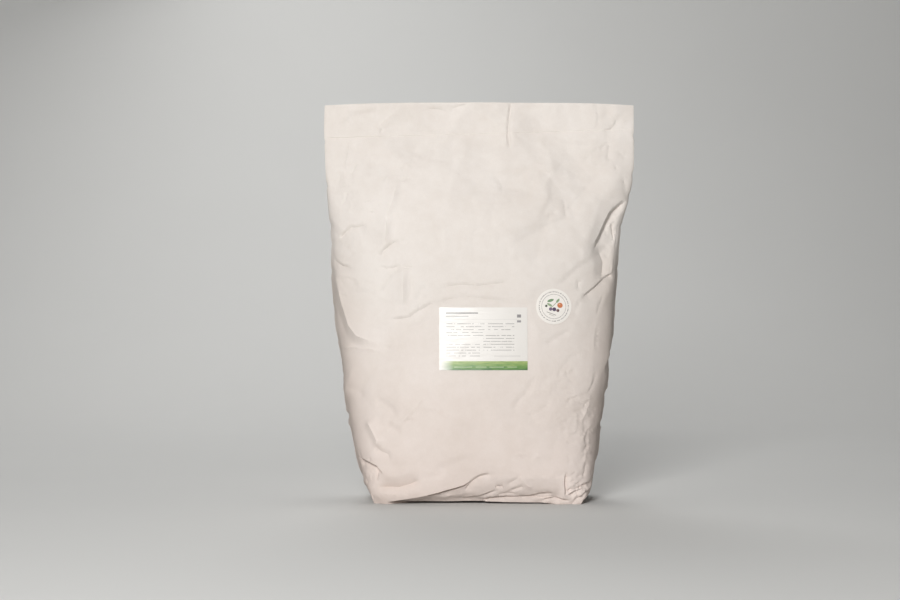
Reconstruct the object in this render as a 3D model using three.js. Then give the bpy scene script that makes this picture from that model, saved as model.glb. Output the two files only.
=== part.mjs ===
import * as THREE from "three";

// A filled paper feed sack that stands on its block bottom. The paper tube is flat and wide at the folded-over
// top and is pushed round by its contents lower down, so the sack grows narrower and deeper towards the base.
// A product label and a round sticker lie on its front.
// Millimetres, +Z up, the front faces -Y, and the origin is on the floor under the middle of the sack.

// ---- The sack ----
const TUBE_WIDTH = 537.6; // the paper tube laid flat, from one side fold to the other
const QUARTER = TUBE_WIDTH / 2; // paper between the middle of a panel and a side fold
const HEIGHT = 685;
const CORNER_DROP = 5; // how far the top edge falls away at its two ends
const HEM_LEFT = 57; // height of the folded-over hem at the left end
const HEM_RIGHT = 46; // and at the right end, because the fold is a little askew
const HEM_STEP = 1.7; // how far the hem's extra plies stand in front of the wall
const HEM_EDGE = 0.8; // height over which they do so
const HEM_ROUNDING = 14; // how far from a side fold the hem reaches its full step
const ROUND_LEVEL = 250; // below this the feed pushes the sack fully round
const FILL_LEVEL = 430; // the feed reaches up to about here
const FLAT_LEVEL = 560; // above this the front and back walls lie together

// The sack's outline at heights that matter: distance of the left and the right side fold from the middle,
// half the depth, how square the cross-section is (2 is an ellipse), and how far its middle leans to the back.
const STATIONS = [
  { z: 0, left: 178, right: 172, depth: 84, square: 8, lean: 0 },
  { z: 15, left: 187, right: 183, depth: 91, square: 7, lean: 0 },
  { z: 40, left: 198, right: 190, depth: 97, square: 5, lean: 0 },
  { z: 90, left: 213, right: 199, depth: 101, square: 3.7, lean: 0 },
  { z: 165, left: 226, right: 211, depth: 98, square: 2.9, lean: 0 },
  { z: 225, left: 235, right: 222, depth: 92, square: 2.6, lean: 0 },
  { z: 300, left: 245, right: 230, depth: 83, square: 2.35, lean: 1 },
  { z: 385, left: 253, right: 237, depth: 74, square: 2.15, lean: 2 },
  { z: 445, left: 253, right: 241, depth: 68, square: 2, lean: 4 },
  { z: 480, left: 257, right: 247, depth: 60, square: 1.95, lean: 5 },
  { z: 515, left: 261, right: 258, depth: 46, square: 1.9, lean: 7 },
  { z: 555, left: 265, right: 267, depth: 24, square: 1.9, lean: 9 },
  { z: 600, left: 267, right: 269, depth: 9, square: 2.2, lean: 11 },
  { z: 640, left: 268.5, right: 268.8, depth: 2.4, square: 5, lean: 12 },
  { z: HEIGHT, left: 267, right: 268, depth: 2, square: 5, lean: 10 },
];

// ---- What lies on the front ----
const LABEL = { x: 6, z: 278, width: 148, height: 105 }; // a sheet of paper of the usual small office size
const STICKER = { x: 125, z: 332, radius: 30 };
const STICKER_RINGS = 5;
const STICKER_SIDES = 36;
const PAPER_GAP = 0.35; // between the sack's wall and what is stuck on it
const PAPER_THICKNESS = 0.5;

// ---- Fineness ----
const COLUMNS_PER_QUARTER = 24;
const ROW_STEP = 13;
const BOTTOM_ROWS = [0, 3, 8, 15, 24, 34, 45];
const SECTION_STEPS = 96;

// ---- Creases ----
// Each crease runs along a path of [paper, height] points, where paper is the distance round the tube from the
// middle of the front, positive to the right. Depth is how far it is pressed in, negative for a ridge. Left and
// right are the widths of its two flanks, seen along the path.
const FRONT_CREASES = [
  // The right shoulder, where the filled body pulls the flat top in.
  { path: [[263, 515], [232, 491], [215, 457], [200, 424]], depth: 11, left: 44, right: 18 },
  { path: [[200, 424], [209, 406], [220, 386]], depth: 6, left: 30, right: 22 },
  { path: [[254, 386], [203, 360], [172, 342]], depth: 7, left: 16, right: 26 },
  { path: [[262, 480], [250, 452], [246, 420]], depth: 6, left: 14, right: 14 },
  // The left shoulder, which is softer.
  { path: [[-252, 452], [-217, 467], [-190, 467]], depth: 5, left: 12, right: 22 },
  { path: [[-256, 428], [-237, 400], [-212, 395]], depth: 6, left: 20, right: 12 },
  { path: [[-262, 384], [-240, 332], [-216, 290], [-168, 262]], depth: 9, left: 22, right: 44 },
  { path: [[-250, 366], [-206, 374], [-168, 370]], depth: -3, left: 16, right: 16 },
  // Hollows of the unfilled paper above the feed.
  { path: [[50, 430], [140, 474], [214, 506]], depth: 9, left: 70, right: 44 },
  { path: [[119, 604], [111, 554], [58, 490]], depth: -4, left: 60, right: 34 },
  { path: [[-138, 560], [-150, 530], [-160, 486], [-166, 418]], depth: -5, left: 34, right: 46 },
  { path: [[-120, 540], [-108, 480], [-142, 428]], depth: 5, left: 46, right: 30 },
  { path: [[175, 630], [206, 622], [204, 588]], depth: 3, left: 20, right: 14 },
  { path: [[49, 676], [47, 630], [51, 592]], depth: 2.4, left: 16, right: 9 },
  { path: [[-240, 640], [-221, 664], [-168, 671]], depth: 2, left: 14, right: 20 },
  { path: [[-222, 600], [-228, 559], [-218, 530]], depth: 3, left: 16, right: 14 },
  // The panel above and beside the label.
  { path: [[-132, 400], [-161, 346]], depth: -4, left: 24, right: 34 },
  { path: [[-100, 392], [-92, 341], [-116, 316]], depth: 4, left: 34, right: 26 },
  { path: [[-156, 303], [-114, 314], [-81, 330], [-30, 346]], depth: 4, left: 26, right: 14 },
  { path: [[-72, 357], [-24, 365], [40, 368]], depth: 3, left: 22, right: 12 },
  { path: [[-78, 190], [-134, 127]], depth: -2, left: 20, right: 20 },
  { path: [[-208, 140], [-184, 106], [-172, 84], [-148, 76]], depth: 6, left: 18, right: 34 },
  // The lower corners and the folds of the block bottom.
  { path: [[-228, 76], [-188, 60], [-168, 42]], depth: 6, left: 22, right: 13 },
  { path: [[-176, 42], [-131, 17], [-104, 36]], depth: 3, left: 26, right: 26 },
  { path: [[-214, -4], [-117, 9], [-28, 26]], depth: 6, left: 12, right: 44 },
  { path: [[-30, 22], [-13, 36], [6, 42]], depth: 3, left: 16, right: 12 },
  { path: [[-20, 6], [36, 18], [96, 26]], depth: 5, left: 10, right: 18 },
  { path: [[60, 2], [119, 12], [165, 14]], depth: 5, left: 12, right: 12 },
  { path: [[152, 44], [160, 22], [163, -2]], depth: 6, left: 16, right: 12 },
  { path: [[152, 40], [200, 38]], depth: 4, left: 14, right: 16 },
  // The right-hand lower flank, crumpled where the wall turns to the side.
  { path: [[190, 12], [203, 100], [216, 205], [226, 300]], depth: -3, left: 12, right: 12 },
  { path: [[156, 196], [196, 185], [226, 192]], depth: 4, left: 22, right: 16 },
  { path: [[170, 150], [206, 132], [232, 140]], depth: 4, left: 20, right: 18 },
  { path: [[176, 104], [214, 90], [238, 98]], depth: 4, left: 20, right: 18 },
];

const SIDE_CREASES = [
  // On the right side, from the side fold to the back.
  { path: [[268, 500], [300, 470], [322, 430], [330, 396]], depth: 10, left: 18, right: 44 },
  { path: [[266, 366], [306, 350], [344, 322]], depth: 6, left: 20, right: 26 },
  { path: [[272, 262], [312, 246], [350, 254]], depth: 4, left: 24, right: 20 },
  { path: [[270, 170], [310, 150], [352, 158]], depth: 4, left: 22, right: 22 },
  { path: [[300, 92], [338, 66], [380, 30]], depth: 6, left: 18, right: 26 },
  // On the left side.
  { path: [[-268, 486], [-304, 462], [-326, 424], [-340, 384]], depth: 9, left: 44, right: 18 },
  { path: [[-262, 330], [-300, 344], [-340, 318]], depth: 5, left: 24, right: 22 },
  { path: [[-264, 214], [-306, 226], [-352, 206]], depth: 4, left: 22, right: 22 },
  { path: [[-286, 112], [-328, 82], [-372, 26]], depth: 6, left: 24, right: 18 },
];

const BACK_CREASES = [
  { path: [[372, 446], [440, 470], [520, 452]], depth: 8, left: 56, right: 42 },
  { path: [[-360, 430], [-430, 462], [-500, 470]], depth: 7, left: 40, right: 56 },
  { path: [[410, 596], [420, 548], [466, 500]], depth: -4, left: 36, right: 46 },
  { path: [[-392, 580], [-402, 530], [-390, 486]], depth: -4, left: 40, right: 40 },
  { path: [[-420, 330], [-470, 318], [-520, 330]], depth: 3, left: 20, right: 18 },
  { path: [[384, 318], [430, 302], [470, 312]], depth: 4, left: 22, right: 22 },
  { path: [[366, 128], [404, 96], [446, 84]], depth: 5, left: 20, right: 28 },
  { path: [[-372, 148], [-410, 110], [-452, 100]], depth: 4, left: 26, right: 20 },
  { path: [[330, -4], [420, 10], [506, 24]], depth: 6, left: 22, right: 8 },
  { path: [[-340, -4], [-430, 12], [-496, 20]], depth: 6, left: 8, right: 22 },
];

// Broad swells of the walls, pressed out where depth is negative.
const SWELLS = [
  { at: [-40, 150], size: [170, 110], depth: -4 },
  { at: [90, 330], size: [120, 90], depth: -3 },
  { at: [-170, 220], size: [60, 90], depth: 3 },
  { at: [10, 540], size: [150, 60], depth: 5 },
  { at: [150, 545], size: [60, 40], depth: 6 },
  { at: [-200, 540], size: [50, 60], depth: -4 },
  { at: [440, 240], size: [120, 120], depth: -4 },
  { at: [-430, 200], size: [110, 100], depth: -4 },
  { at: [-470, 540], size: [80, 60], depth: 6 },
];

// The raised corners of the block bottom, where its folded triangles stick out.
const EARS = [
  { at: -190, out: 4, reach: 16, height: 34 },
  { at: 176, out: 8, reach: 18, height: 30 },
  { at: 352, out: 6, reach: 18, height: 30 },
  { at: -346, out: 6, reach: 18, height: 32 },
];

const SIDE_FOLD_RIDGE = 2.4; // how far the tube's side fold still stands out where the sack is round
const SIDE_FOLD_WIDTH = 12;
const BACK_SEAM = { at: 470, width: 36, step: 0.9 }; // the glued overlap that closes the tube

// ---- Small helpers ----
const mix = (a, b, t) => a + (b - a) * t;

function smoothStep(low, high, value) {
  const t = THREE.MathUtils.clamp((value - low) / (high - low), 0, 1);
  return t * t * (3 - 2 * t);
}

// A measure of the stations at height z, on a smooth curve through them.
function stationValue(key, z) {
  const last = STATIONS.length - 1;
  let i = 0;
  while (i < last - 1 && z > STATIONS[i + 1].z) i += 1;
  const slope = (k) => {
    const a = STATIONS[Math.max(k - 1, 0)];
    const b = STATIONS[Math.min(k + 1, last)];
    return (b[key] - a[key]) / (b.z - a.z);
  };
  const [from, to] = [STATIONS[i], STATIONS[i + 1]];
  const span = to.z - from.z;
  const t = THREE.MathUtils.clamp((z - from.z) / span, 0, 1);
  const [t2, t3] = [t * t, t * t * t];
  return (
    (2 * t3 - 3 * t2 + 1) * from[key] +
    (t3 - 2 * t2 + t) * span * slope(i) +
    (3 * t2 - 2 * t3) * to[key] +
    (t3 - t2) * span * slope(i + 1)
  );
}

// A quarter of the cross-section from the middle of a panel to a side fold, as points evenly spaced along the
// paper: [distance from the middle, distance from the sack's middle plane].
function quarterSection(halfWidth, halfDepth, square) {
  const walk = [];
  let length = 0;
  for (let i = 0; i <= SECTION_STEPS; i += 1) {
    const angle = (Math.PI / 2) * (i / SECTION_STEPS);
    const across = halfWidth * Math.pow(Math.sin(angle), 2 / square);
    const out = halfDepth * Math.pow(Math.max(Math.cos(angle), 0), 2 / square);
    if (i > 0) length += Math.hypot(across - walk[i - 1].across, out - walk[i - 1].out);
    walk.push({ across, out, length });
  }
  return (share) => {
    const wanted = THREE.MathUtils.clamp(share, 0, 1) * length;
    let i = 1;
    while (i < SECTION_STEPS && walk[i].length < wanted) i += 1;
    const [a, b] = [walk[i - 1], walk[i]];
    const t = (wanted - a.length) / (b.length - a.length);
    return [mix(a.across, b.across, t), mix(a.out, b.out, t)];
  };
}

// How far a crease presses in the point (paper, z): most along its path, nothing past its flanks or its ends.
function creasePress(crease, paper, z) {
  const { path, depth, left, right } = crease;
  const reach = Math.max(left, right);
  const beside = (axis, value) =>
    path.every((point) => point[axis] < value - reach) || path.every((point) => point[axis] > value + reach);
  if (beside(0, paper) || beside(1, z)) return 0;
  let total = 0;
  for (let i = 1; i < path.length; i += 1) {
    total += Math.hypot(path[i][0] - path[i - 1][0], path[i][1] - path[i - 1][1]);
  }
  let best = { distance: Infinity, along: 0, side: 1 };
  let before = 0;
  for (let i = 1; i < path.length; i += 1) {
    const [ax, az] = path[i - 1];
    const [dx, dz] = [path[i][0] - ax, path[i][1] - az];
    const length = Math.hypot(dx, dz);
    const t = THREE.MathUtils.clamp(((paper - ax) * dx + (z - az) * dz) / (length * length), 0, 1);
    const [ox, oz] = [paper - ax - dx * t, z - az - dz * t];
    const distance = Math.hypot(ox, oz);
    if (distance < best.distance) {
      best = { distance, along: (before + length * t) / total, side: dx * oz - dz * ox };
    }
    before += length;
  }
  const flank = best.side > 0 ? left : right;
  if (best.distance >= flank) return 0;
  const endTaper = Math.min(1, 5 * best.along + 0.15, 5 * (1 - best.along) + 0.15);
  return depth * Math.pow(1 - best.distance / flank, 2) * endTaper;
}

// Distance round the tube between two places, the short way.
function roundDistance(a, b) {
  const girth = 4 * QUARTER;
  const d = (((a - b) % girth) + girth) % girth;
  return Math.min(d, girth - d);
}

function swellPress({ at, size, depth }, paper, z) {
  const reach = Math.hypot(roundDistance(paper, at[0]) / size[0], (z - at[1]) / size[1]);
  return reach < 1 ? depth * Math.pow(1 - reach * reach, 2) : 0;
}

// How far the wall is pressed in at a place on the paper.
function wallPress(paper, z) {
  let press = 0;
  for (const crease of [...FRONT_CREASES, ...SIDE_CREASES, ...BACK_CREASES]) {
    press += creasePress(crease, paper, z);
  }
  for (const swell of SWELLS) press += swellPress(swell, paper, z);
  const seam = Math.abs(paper - BACK_SEAM.at) < BACK_SEAM.width / 2;
  return press - (seam ? BACK_SEAM.step : 0);
}

// The paper under the label and the sticker is held nearly flat.
function heldFlat(x, z) {
  const label = Math.max(Math.abs(x - LABEL.x) - LABEL.width / 2, Math.abs(z - LABEL.z) - LABEL.height / 2);
  const sticker = Math.hypot(x - STICKER.x, z - STICKER.z) - STICKER.radius;
  return 1 - smoothStep(4, 26, Math.min(label, sticker));
}

const hemLine = (paper) => HEIGHT - mix(HEM_LEFT, HEM_RIGHT, (paper + QUARTER) / TUBE_WIDTH);

function topLine(paper) {
  return HEIGHT - CORNER_DROP * Math.pow(Math.abs(paper) / QUARTER, 3);
}

// The place on the other wall that a place on this one lies against when the tube is flat.
function facing(paper) {
  return Math.sign(paper || 1) * (TUBE_WIDTH - Math.abs(paper));
}

const inFront = (paper) => (Math.abs(paper) <= QUARTER ? paper : facing(paper));

// The hem's extra plies end in a rounded fold at the two side folds.
const hemShare = (paper) => Math.min(1, (QUARTER - Math.abs(inFront(paper))) / HEM_ROUNDING);

// ---- The sack's wall ----
// The point of the wall at a place on the paper. Paper runs from -TUBE_WIDTH to TUBE_WIDTH with the middle of the
// front at 0. Extra thickens the front, and pinch thins the section, both for the hem.
function wallPoint(paper, z, extra = 0, pinch = 1) {
  const right = paper >= 0;
  const front = Math.abs(paper) <= QUARTER;
  const halfWidth = stationValue(right ? "right" : "left", z);
  const depth = stationValue("depth", z);
  const share = front ? Math.abs(paper) / QUARTER : (TUBE_WIDTH - Math.abs(paper)) / QUARTER;
  const section = quarterSection(halfWidth, (depth + (front ? extra : 0)) * pinch, stationValue("square", z));
  const [across, out] = section(share);

  // The outward direction, from the section's slope.
  const nudge = 0.004;
  const [a0, o0] = section(share - nudge);
  const [a1, o1] = section(share + nudge);
  const outward = new THREE.Vector2(-(o1 - o0), a1 - a0).normalize();

  // Where the two walls lie together, a crease in one goes through the other.
  const together = smoothStep(FILL_LEVEL, FLAT_LEVEL, z);
  const own = wallPress(paper, z) * (front ? 1 - heldFlat((right ? 1 : -1) * across, z) : 1);
  const other = together > 0 ? wallPress(facing(paper), z) : 0;
  const fromFold = Math.abs(Math.abs(paper) - QUARTER);
  const ridge = SIDE_FOLD_RIDGE * Math.pow(Math.max(0, 1 - fromFold / SIDE_FOLD_WIDTH), 2);
  let push = together * other - own;
  for (const ear of EARS) {
    const near = Math.max(0, 1 - roundDistance(paper, ear.at) / ear.reach);
    push += ear.out * near * Math.max(0, 1 - z / ear.height);
  }
  // Low down a wall is pushed straight out. Towards the flat top it is pushed only fore and aft, and not at all
  // at its side folds, so that both walls keep together there.
  const flat = smoothStep(ROUND_LEVEL, FILL_LEVEL, z);
  push *= mix(1, smoothStep(0, 40, fromFold), flat);
  const sidewaysPush = (push * (1 - flat) + ridge * (1 - together)) * outward.x;
  const forwardPush = push * mix(outward.y, 1, flat);
  const sideways = across + sidewaysPush;
  const forward = out + forwardPush;
  return new THREE.Vector3(
    (right ? 1 : -1) * sideways,
    stationValue("lean", z) + (front ? -1 : 1) * forward,
    z,
  );
}

// The rows of the wall: for each, its height at a place on the paper, how much the hem thickens it and how far
// the rounded top edge pinches it.
function wallRows() {
  const hemHeight = HEIGHT - (HEM_LEFT + HEM_RIGHT) / 2;
  const lowest = BOTTOM_ROWS.at(-1);
  const bodyRows = Math.round((hemHeight - lowest) / ROW_STEP);
  const heights = [...BOTTOM_ROWS];
  for (let i = 1; i <= bodyRows; i += 1) heights.push(mix(lowest, hemHeight, i / bodyRows));
  const row = (height, hem, pinch) => ({
    height,
    hem,
    pinch,
    point: (paper) => wallPoint(paper, height(inFront(paper)), hem * HEM_STEP * hemShare(paper), pinch),
  });
  const rows = heights.map((height) => row((paper) => (height / hemHeight) * hemLine(paper), 0, 1));
  for (const share of [0, 0.25, 0.5, 0.75, 0.96, 1]) {
    rows.push(row((paper) => mix(hemLine(paper) + HEM_EDGE, topLine(paper), share), 1, share < 1 ? 1 : 0.5));
  }
  return rows;
}

// The point of the wall midway between two rows.
function between(low, high, paper) {
  const z = (low.height(inFront(paper)) + high.height(inFront(paper))) / 2;
  const extra = ((low.hem + high.hem) / 2) * HEM_STEP * hemShare(paper);
  return wallPoint(paper, z, extra, (low.pinch + high.pinch) / 2);
}

function makeSack() {
  const columns = 4 * COLUMNS_PER_QUARTER;
  const rows = wallRows();
  const points = [];
  // Columns run round the sack anticlockwise seen from above, starting behind its middle.
  const columnWidth = (2 * TUBE_WIDTH) / columns;
  const papers = Array.from({ length: columns }, (_, i) => i * columnWidth - TUBE_WIDTH);
  for (const row of rows) for (const paper of papers) points.push(row.point(paper));
  const index = [];
  const at = (row, column) => row * columns + (column % columns);
  for (let r = 0; r + 1 < rows.length; r += 1) {
    for (let c = 0; c < columns; c += 1) {
      const [a, b, d, e] = [at(r, c), at(r, c + 1), at(r + 1, c), at(r + 1, c + 1)];
      // Of the two ways to split a cell, the one whose diagonal lies nearer to the wall follows the creases.
      const centre = between(rows[r], rows[r + 1], papers[c] + columnWidth / 2);
      const miss = (p, q) => points[p].clone().add(points[q]).multiplyScalar(0.5).distanceTo(centre);
      if (miss(a, e) < miss(b, d)) index.push(a, b, e, a, e, d);
      else index.push(a, b, d, b, e, d);
    }
  }
  // The base is closed from its middle, and the top by a strip between the front and the back wall.
  const middle = points.push(new THREE.Vector3(0, 0, 0)) - 1;
  for (let c = 0; c < columns; c += 1) index.push(middle, at(0, c + 1), at(0, c));
  const top = rows.length - 1;
  const side = columns / 4;
  for (let c = 0; c < columns / 2; c += 1) {
    // Column side + c is on the front, and column side - c behind it.
    const a = at(top, side + c);
    const b = at(top, side + c + 1);
    const d = at(top, side + columns - c);
    const e = at(top, side + columns - c - 1);
    if (c > 0) index.push(a, b, d);
    if (c < columns / 2 - 1) index.push(b, e, d);
  }
  const geometry = new THREE.BufferGeometry().setFromPoints(points);
  geometry.setIndex(index);
  geometry.computeVertexNormals();
  return geometry;
}

// ---- The label and the sticker ----
// How far forward the sack's front wall is at (x, z).
function frontFinder(sack) {
  const target = new THREE.Mesh(sack, new THREE.MeshBasicMaterial({ side: THREE.DoubleSide }));
  const ray = new THREE.Raycaster();
  return (x, z) => {
    ray.set(new THREE.Vector3(x, -1000, z), new THREE.Vector3(0, 1, 0));
    return ray.intersectObject(target)[0].point.y;
  };
}

// A thin sheet that follows the front wall, from the rings of its outline inwards to its middle.
function stuckSheet(rings, middle, frontAt) {
  const sides = rings[0].length;
  const flat = [...rings.flat(), middle];
  const layer = (stand) => flat.map(([x, z]) => new THREE.Vector3(x, frontAt(x, z) - stand, z));
  const points = [...layer(PAPER_GAP + PAPER_THICKNESS), ...layer(PAPER_GAP)];
  const back = flat.length;
  const index = [];
  const face = (a, b, c) => index.push(a, b, c, back + a, back + c, back + b);
  for (let r = 0; r + 1 < rings.length; r += 1) {
    for (let i = 0; i < sides; i += 1) {
      const j = (i + 1) % sides;
      face(r * sides + i, r * sides + j, (r + 1) * sides + j);
      face(r * sides + i, (r + 1) * sides + j, (r + 1) * sides + i);
    }
  }
  const inner = (rings.length - 1) * sides;
  for (let i = 0; i < sides; i += 1) face(inner + i, inner + ((i + 1) % sides), back - 1);
  for (let i = 0; i < sides; i += 1) {
    const j = (i + 1) % sides;
    index.push(i, back + i, back + j, i, back + j, j);
  }
  const geometry = new THREE.BufferGeometry().setFromPoints(points);
  geometry.setIndex(index);
  geometry.computeVertexNormals();
  return geometry;
}

function makeLabel(frontAt) {
  const { x, z, width, height } = LABEL;
  const [wide, high, ringCount] = [16, 12, 5];
  // Round the edge of a rectangle, then inwards in rings.
  const edge = [];
  for (let i = 0; i < wide; i += 1) edge.push([-0.5 + i / wide, -0.5]);
  for (let i = 0; i < high; i += 1) edge.push([0.5, -0.5 + i / high]);
  for (let i = 0; i < wide; i += 1) edge.push([0.5 - i / wide, 0.5]);
  for (let i = 0; i < high; i += 1) edge.push([-0.5, 0.5 - i / high]);
  const rings = [];
  for (let r = 0; r < ringCount; r += 1) {
    const shrink = 1 - r / ringCount;
    rings.push(edge.map(([u, v]) => [x + u * width * shrink, z + v * height * shrink]));
  }
  return stuckSheet(rings, [x, z], frontAt);
}

function makeSticker(frontAt) {
  const rings = [];
  for (let r = 0; r < STICKER_RINGS; r += 1) {
    const radius = STICKER.radius * (1 - r / STICKER_RINGS);
    rings.push(
      Array.from({ length: STICKER_SIDES }, (_, i) => {
        const angle = (2 * Math.PI * i) / STICKER_SIDES;
        return [STICKER.x + radius * Math.cos(angle), STICKER.z + radius * Math.sin(angle)];
      }),
    );
  }
  return stuckSheet(rings, [STICKER.x, STICKER.z], frontAt);
}

// ---- The object ----
const sackPaper = new THREE.MeshStandardMaterial({ color: "#e6dcd3", roughness: 0.85, metalness: 0 });
const labelPaper = new THREE.MeshStandardMaterial({ color: "#f6f4f0", roughness: 0.4, metalness: 0 });
const stickerPaper = new THREE.MeshStandardMaterial({ color: "#f7f4ef", roughness: 0.4, metalness: 0 });

function namedMesh(name, geometry, material) {
  const mesh = new THREE.Mesh(geometry, material);
  mesh.name = name;
  return mesh;
}

const sack = makeSack();
const frontAt = frontFinder(sack);
const feedSack = new THREE.Group();
feedSack.add(namedMesh("sack", sack, sackPaper));
feedSack.add(namedMesh("product_label", makeLabel(frontAt), labelPaper));
feedSack.add(namedMesh("round_sticker", makeSticker(frontAt), stickerPaper));

export default feedSack;
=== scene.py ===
"""A filled paper feed sack that stands on its block bottom, with a printed label and a round sticker on its front.

Lengths in this file's tables are millimetres. The front faces -Y, +Z is up, and the origin is on the floor.
"""

import math
from collections import namedtuple
from functools import partial

import bpy
import numpy as np
from bpy.props import FloatProperty, FloatVectorProperty, IntProperty, PointerProperty
from mathutils.geometry import delaunay_2d_cdt
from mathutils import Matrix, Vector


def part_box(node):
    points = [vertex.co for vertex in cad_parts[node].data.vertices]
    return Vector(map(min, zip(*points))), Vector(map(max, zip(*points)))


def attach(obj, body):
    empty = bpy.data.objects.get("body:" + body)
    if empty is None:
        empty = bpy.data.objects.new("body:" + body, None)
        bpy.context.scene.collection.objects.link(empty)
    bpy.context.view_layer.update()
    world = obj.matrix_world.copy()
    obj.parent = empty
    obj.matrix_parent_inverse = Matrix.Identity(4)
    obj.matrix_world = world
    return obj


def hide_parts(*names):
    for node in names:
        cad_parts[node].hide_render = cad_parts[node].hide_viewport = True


bl_info = {
    "name": "Paper Feed Sack",
    "version": (1, 0, 0),
    "blender": (4, 5, 0),
    "location": "View3D > Sidebar > Feed Sack",
    "description": "Models a filled paper feed sack with its label and sticker",
    "category": "Add Mesh",
}

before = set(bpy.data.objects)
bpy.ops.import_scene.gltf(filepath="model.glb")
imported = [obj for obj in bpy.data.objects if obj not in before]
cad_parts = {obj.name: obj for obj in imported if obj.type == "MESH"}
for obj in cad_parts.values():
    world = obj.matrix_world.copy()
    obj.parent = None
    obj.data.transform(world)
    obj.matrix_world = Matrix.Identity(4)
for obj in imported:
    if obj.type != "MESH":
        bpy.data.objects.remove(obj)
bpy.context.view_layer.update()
MM = 0.001

# ---- Sizes from the frame ----
LABEL_LOW, LABEL_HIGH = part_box("product_label")
STICKER_LOW, STICKER_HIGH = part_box("round_sticker")
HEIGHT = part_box("sack")[1].z / MM
TUBE_WIDTH = 537.6  # the paper tube laid flat, from one side fold to the other
QUARTER = TUBE_WIDTH / 2  # paper between the middle of a panel and a side fold
GIRTH = 2 * TUBE_WIDTH
ON_EDGE = 0.01  # a place this near to the sheet's edge lies on it

# ---- The sack's form ----
# Its outline at heights that matter: height, distance of the left and of the right side fold from the middle,
# half the depth, how square the cross-section is (2 is an ellipse) and how far its middle leans to the back.
OUTLINE = np.array(
    [
        (0, 178, 172, 84, 8, 0),
        (15, 189, 186, 91, 7, 0),
        (40, 199, 193, 97, 4.6, 0),
        (90, 213, 202, 101, 3.3, 0),
        (165, 226, 213, 98, 2.6, 0),
        (225, 235, 223, 92, 2.4, 0),
        (300, 245, 230, 83, 2.2, 1),
        (385, 253, 237, 74, 2.1, 2),
        (445, 253, 241, 68, 2, 4),
        (480, 257, 247, 60, 1.95, 5),
        (515, 261, 258, 46, 1.9, 7),
        (555, 265, 267, 24, 1.9, 9),
        (600, 267, 269, 9, 2.2, 11),
        (640, 268.5, 268.8, 2.4, 5, 12),
        (685, 267, 268, 2, 5, 10),
    ]
)
LEFT, RIGHT, DEPTH, SQUARE, LEAN = 1, 2, 3, 4, 5
ROUND_LEVEL = 250  # below this the feed pushes the sack fully round
FILL_LEVEL = 430  # the feed reaches up to about here
FLAT_LEVEL = 560  # above this the front and back walls lie together
FOLD_HOLD = 34  # above the feed, the walls move less than freely this near to a side fold
CORNER_DROP = 5  # how far the top edge falls away at its two ends
TOP_ROUNDING = 3  # height over which the two walls close at the top
TOP_PINCH = 0.55  # share of the depth that they lose there

# The folded-over hem.
HEM_LEFT = 61.5  # its height at its left end
HEM_RIGHT = 46
HEM_EDGE = 0.8  # height over which its plies stand out
HEM_SHARE = 2.2, 0.8  # its step at its left end and from halfway to the middle on, as shares of the setting
HEM_GLINT = 1.6  # height of the thin painted highlight along its top edge
HEM_ROUNDING = 14  # how far from a side fold it reaches its full step

# The side folds and the glued overlap that closes the tube.
SIDE_FOLD_RIDGE = 2.4  # how far the tube's side fold still stands out where the sack is round
SIDE_FOLD_WIDTH = 9
SIDE_FOLD_LINES = -1, -0.4, 0.4, 1  # where the sheet has lines beside it, as shares of its width
BACK_SEAM = 470  # the overlap's place on the paper
BACK_SEAM_WIDTH = 36
BACK_SEAM_STEP = 0.9
SEAM_EDGE = 0.8  # half the width over which its edge steps up

# The block bottom. The edges of its corner flap, which is folded over the wall, and of the pasted strip under it
# are places along the paper, and heights.
TUCK_HEIGHT = 45  # below this the front and the back curve in under the sack
TUCK = 0.0062  # how fast they do
TUCK_MIDDLE = -10
TUCK_ENDS = 142, 158  # how far from its middle the tuck begins to fade towards the corners and is gone
FLAP_EDGE = np.array([(-234, -8), (-141, 7), (-103, 14), (-68, 22), (-42, 28.5), (-27, 33), (-8, 45)])
FLAP_SOFT = 0.7  # half the height over which the flap's edge steps back
FLAP_STEP = 2  # how far the flap stands in front of what is under it
FLAP_ENDS = -8, -34  # where that step begins and where it is full
FLAP_GROOVE = 6  # how deep the gap along its edge is
FLAP_GROOVE_BELOW = 1.2
FLAP_GROOVE_WIDTH = 2.4
STRIP_EDGE = np.array([(-30, -12), (22, 4), (81, 9), (113, 6.6), (124, 10.7), (146, 6.6), (170, 4)])
STRIP_SOFT = 0.6
FLAP_LIFTS = FLAP_SOFT, -FLAP_SOFT, -2, -3.6  # where the sheet has lines of points along the flap's edge
STRIP_LIFTS = STRIP_SOFT, -STRIP_SOFT
STRIP_OUT = 3  # how far the strip stands out under the wall
BASE_ARCH = 1.6  # how far the middle of the base is off the floor
BASE_ARCH_HEIGHT = 12
BASE_RINGS = 0.97, 0.8, 0.6, 0.4  # the base's rings of paper, each as a share of the one outside it

# Where the paper is held, and where its narrow sides get painted shade.
HELD_MARGIN = 2, 20  # the label and the sticker hold the wall flat up to here, and no longer from here on
HELD_SHARE = 0.75  # of the creases that they flatten out
SIDE_SHADE_FROM_FOLD = 20, 105  # the narrow sides get painted shade this near to the side folds, fully and not at all
SIDE_SHADE_HEIGHTS = 330, 470  # and up to here
UNDER_SHADE = 2.4  # painted shade on the paper that is tucked in under the sack, as a value of the fold mark
LABEL_EDGE = math.radians(40)  # edges that are blunter than this are shaded smooth
SACK_EDGE = math.radians(30)

# ---- Creases ----
# A crease's depth is how far it is pressed in, negative for a ridge. Left and right are the widths of its two
# flanks, seen along its path: a narrow one is a sharp fold. The path is points (paper, height), where paper is the
# distance round the tube from the middle of the front, positive to the right.
Crease = namedtuple("Crease", "depth left right path")


def creases_from(rows):
    """Creases from rows of depth, left, right, and then paper and height for each point of the path."""
    return [Crease(*row[:3], np.reshape(row[3:], (-1, 2)).astype(float)) for row in rows]


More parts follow.
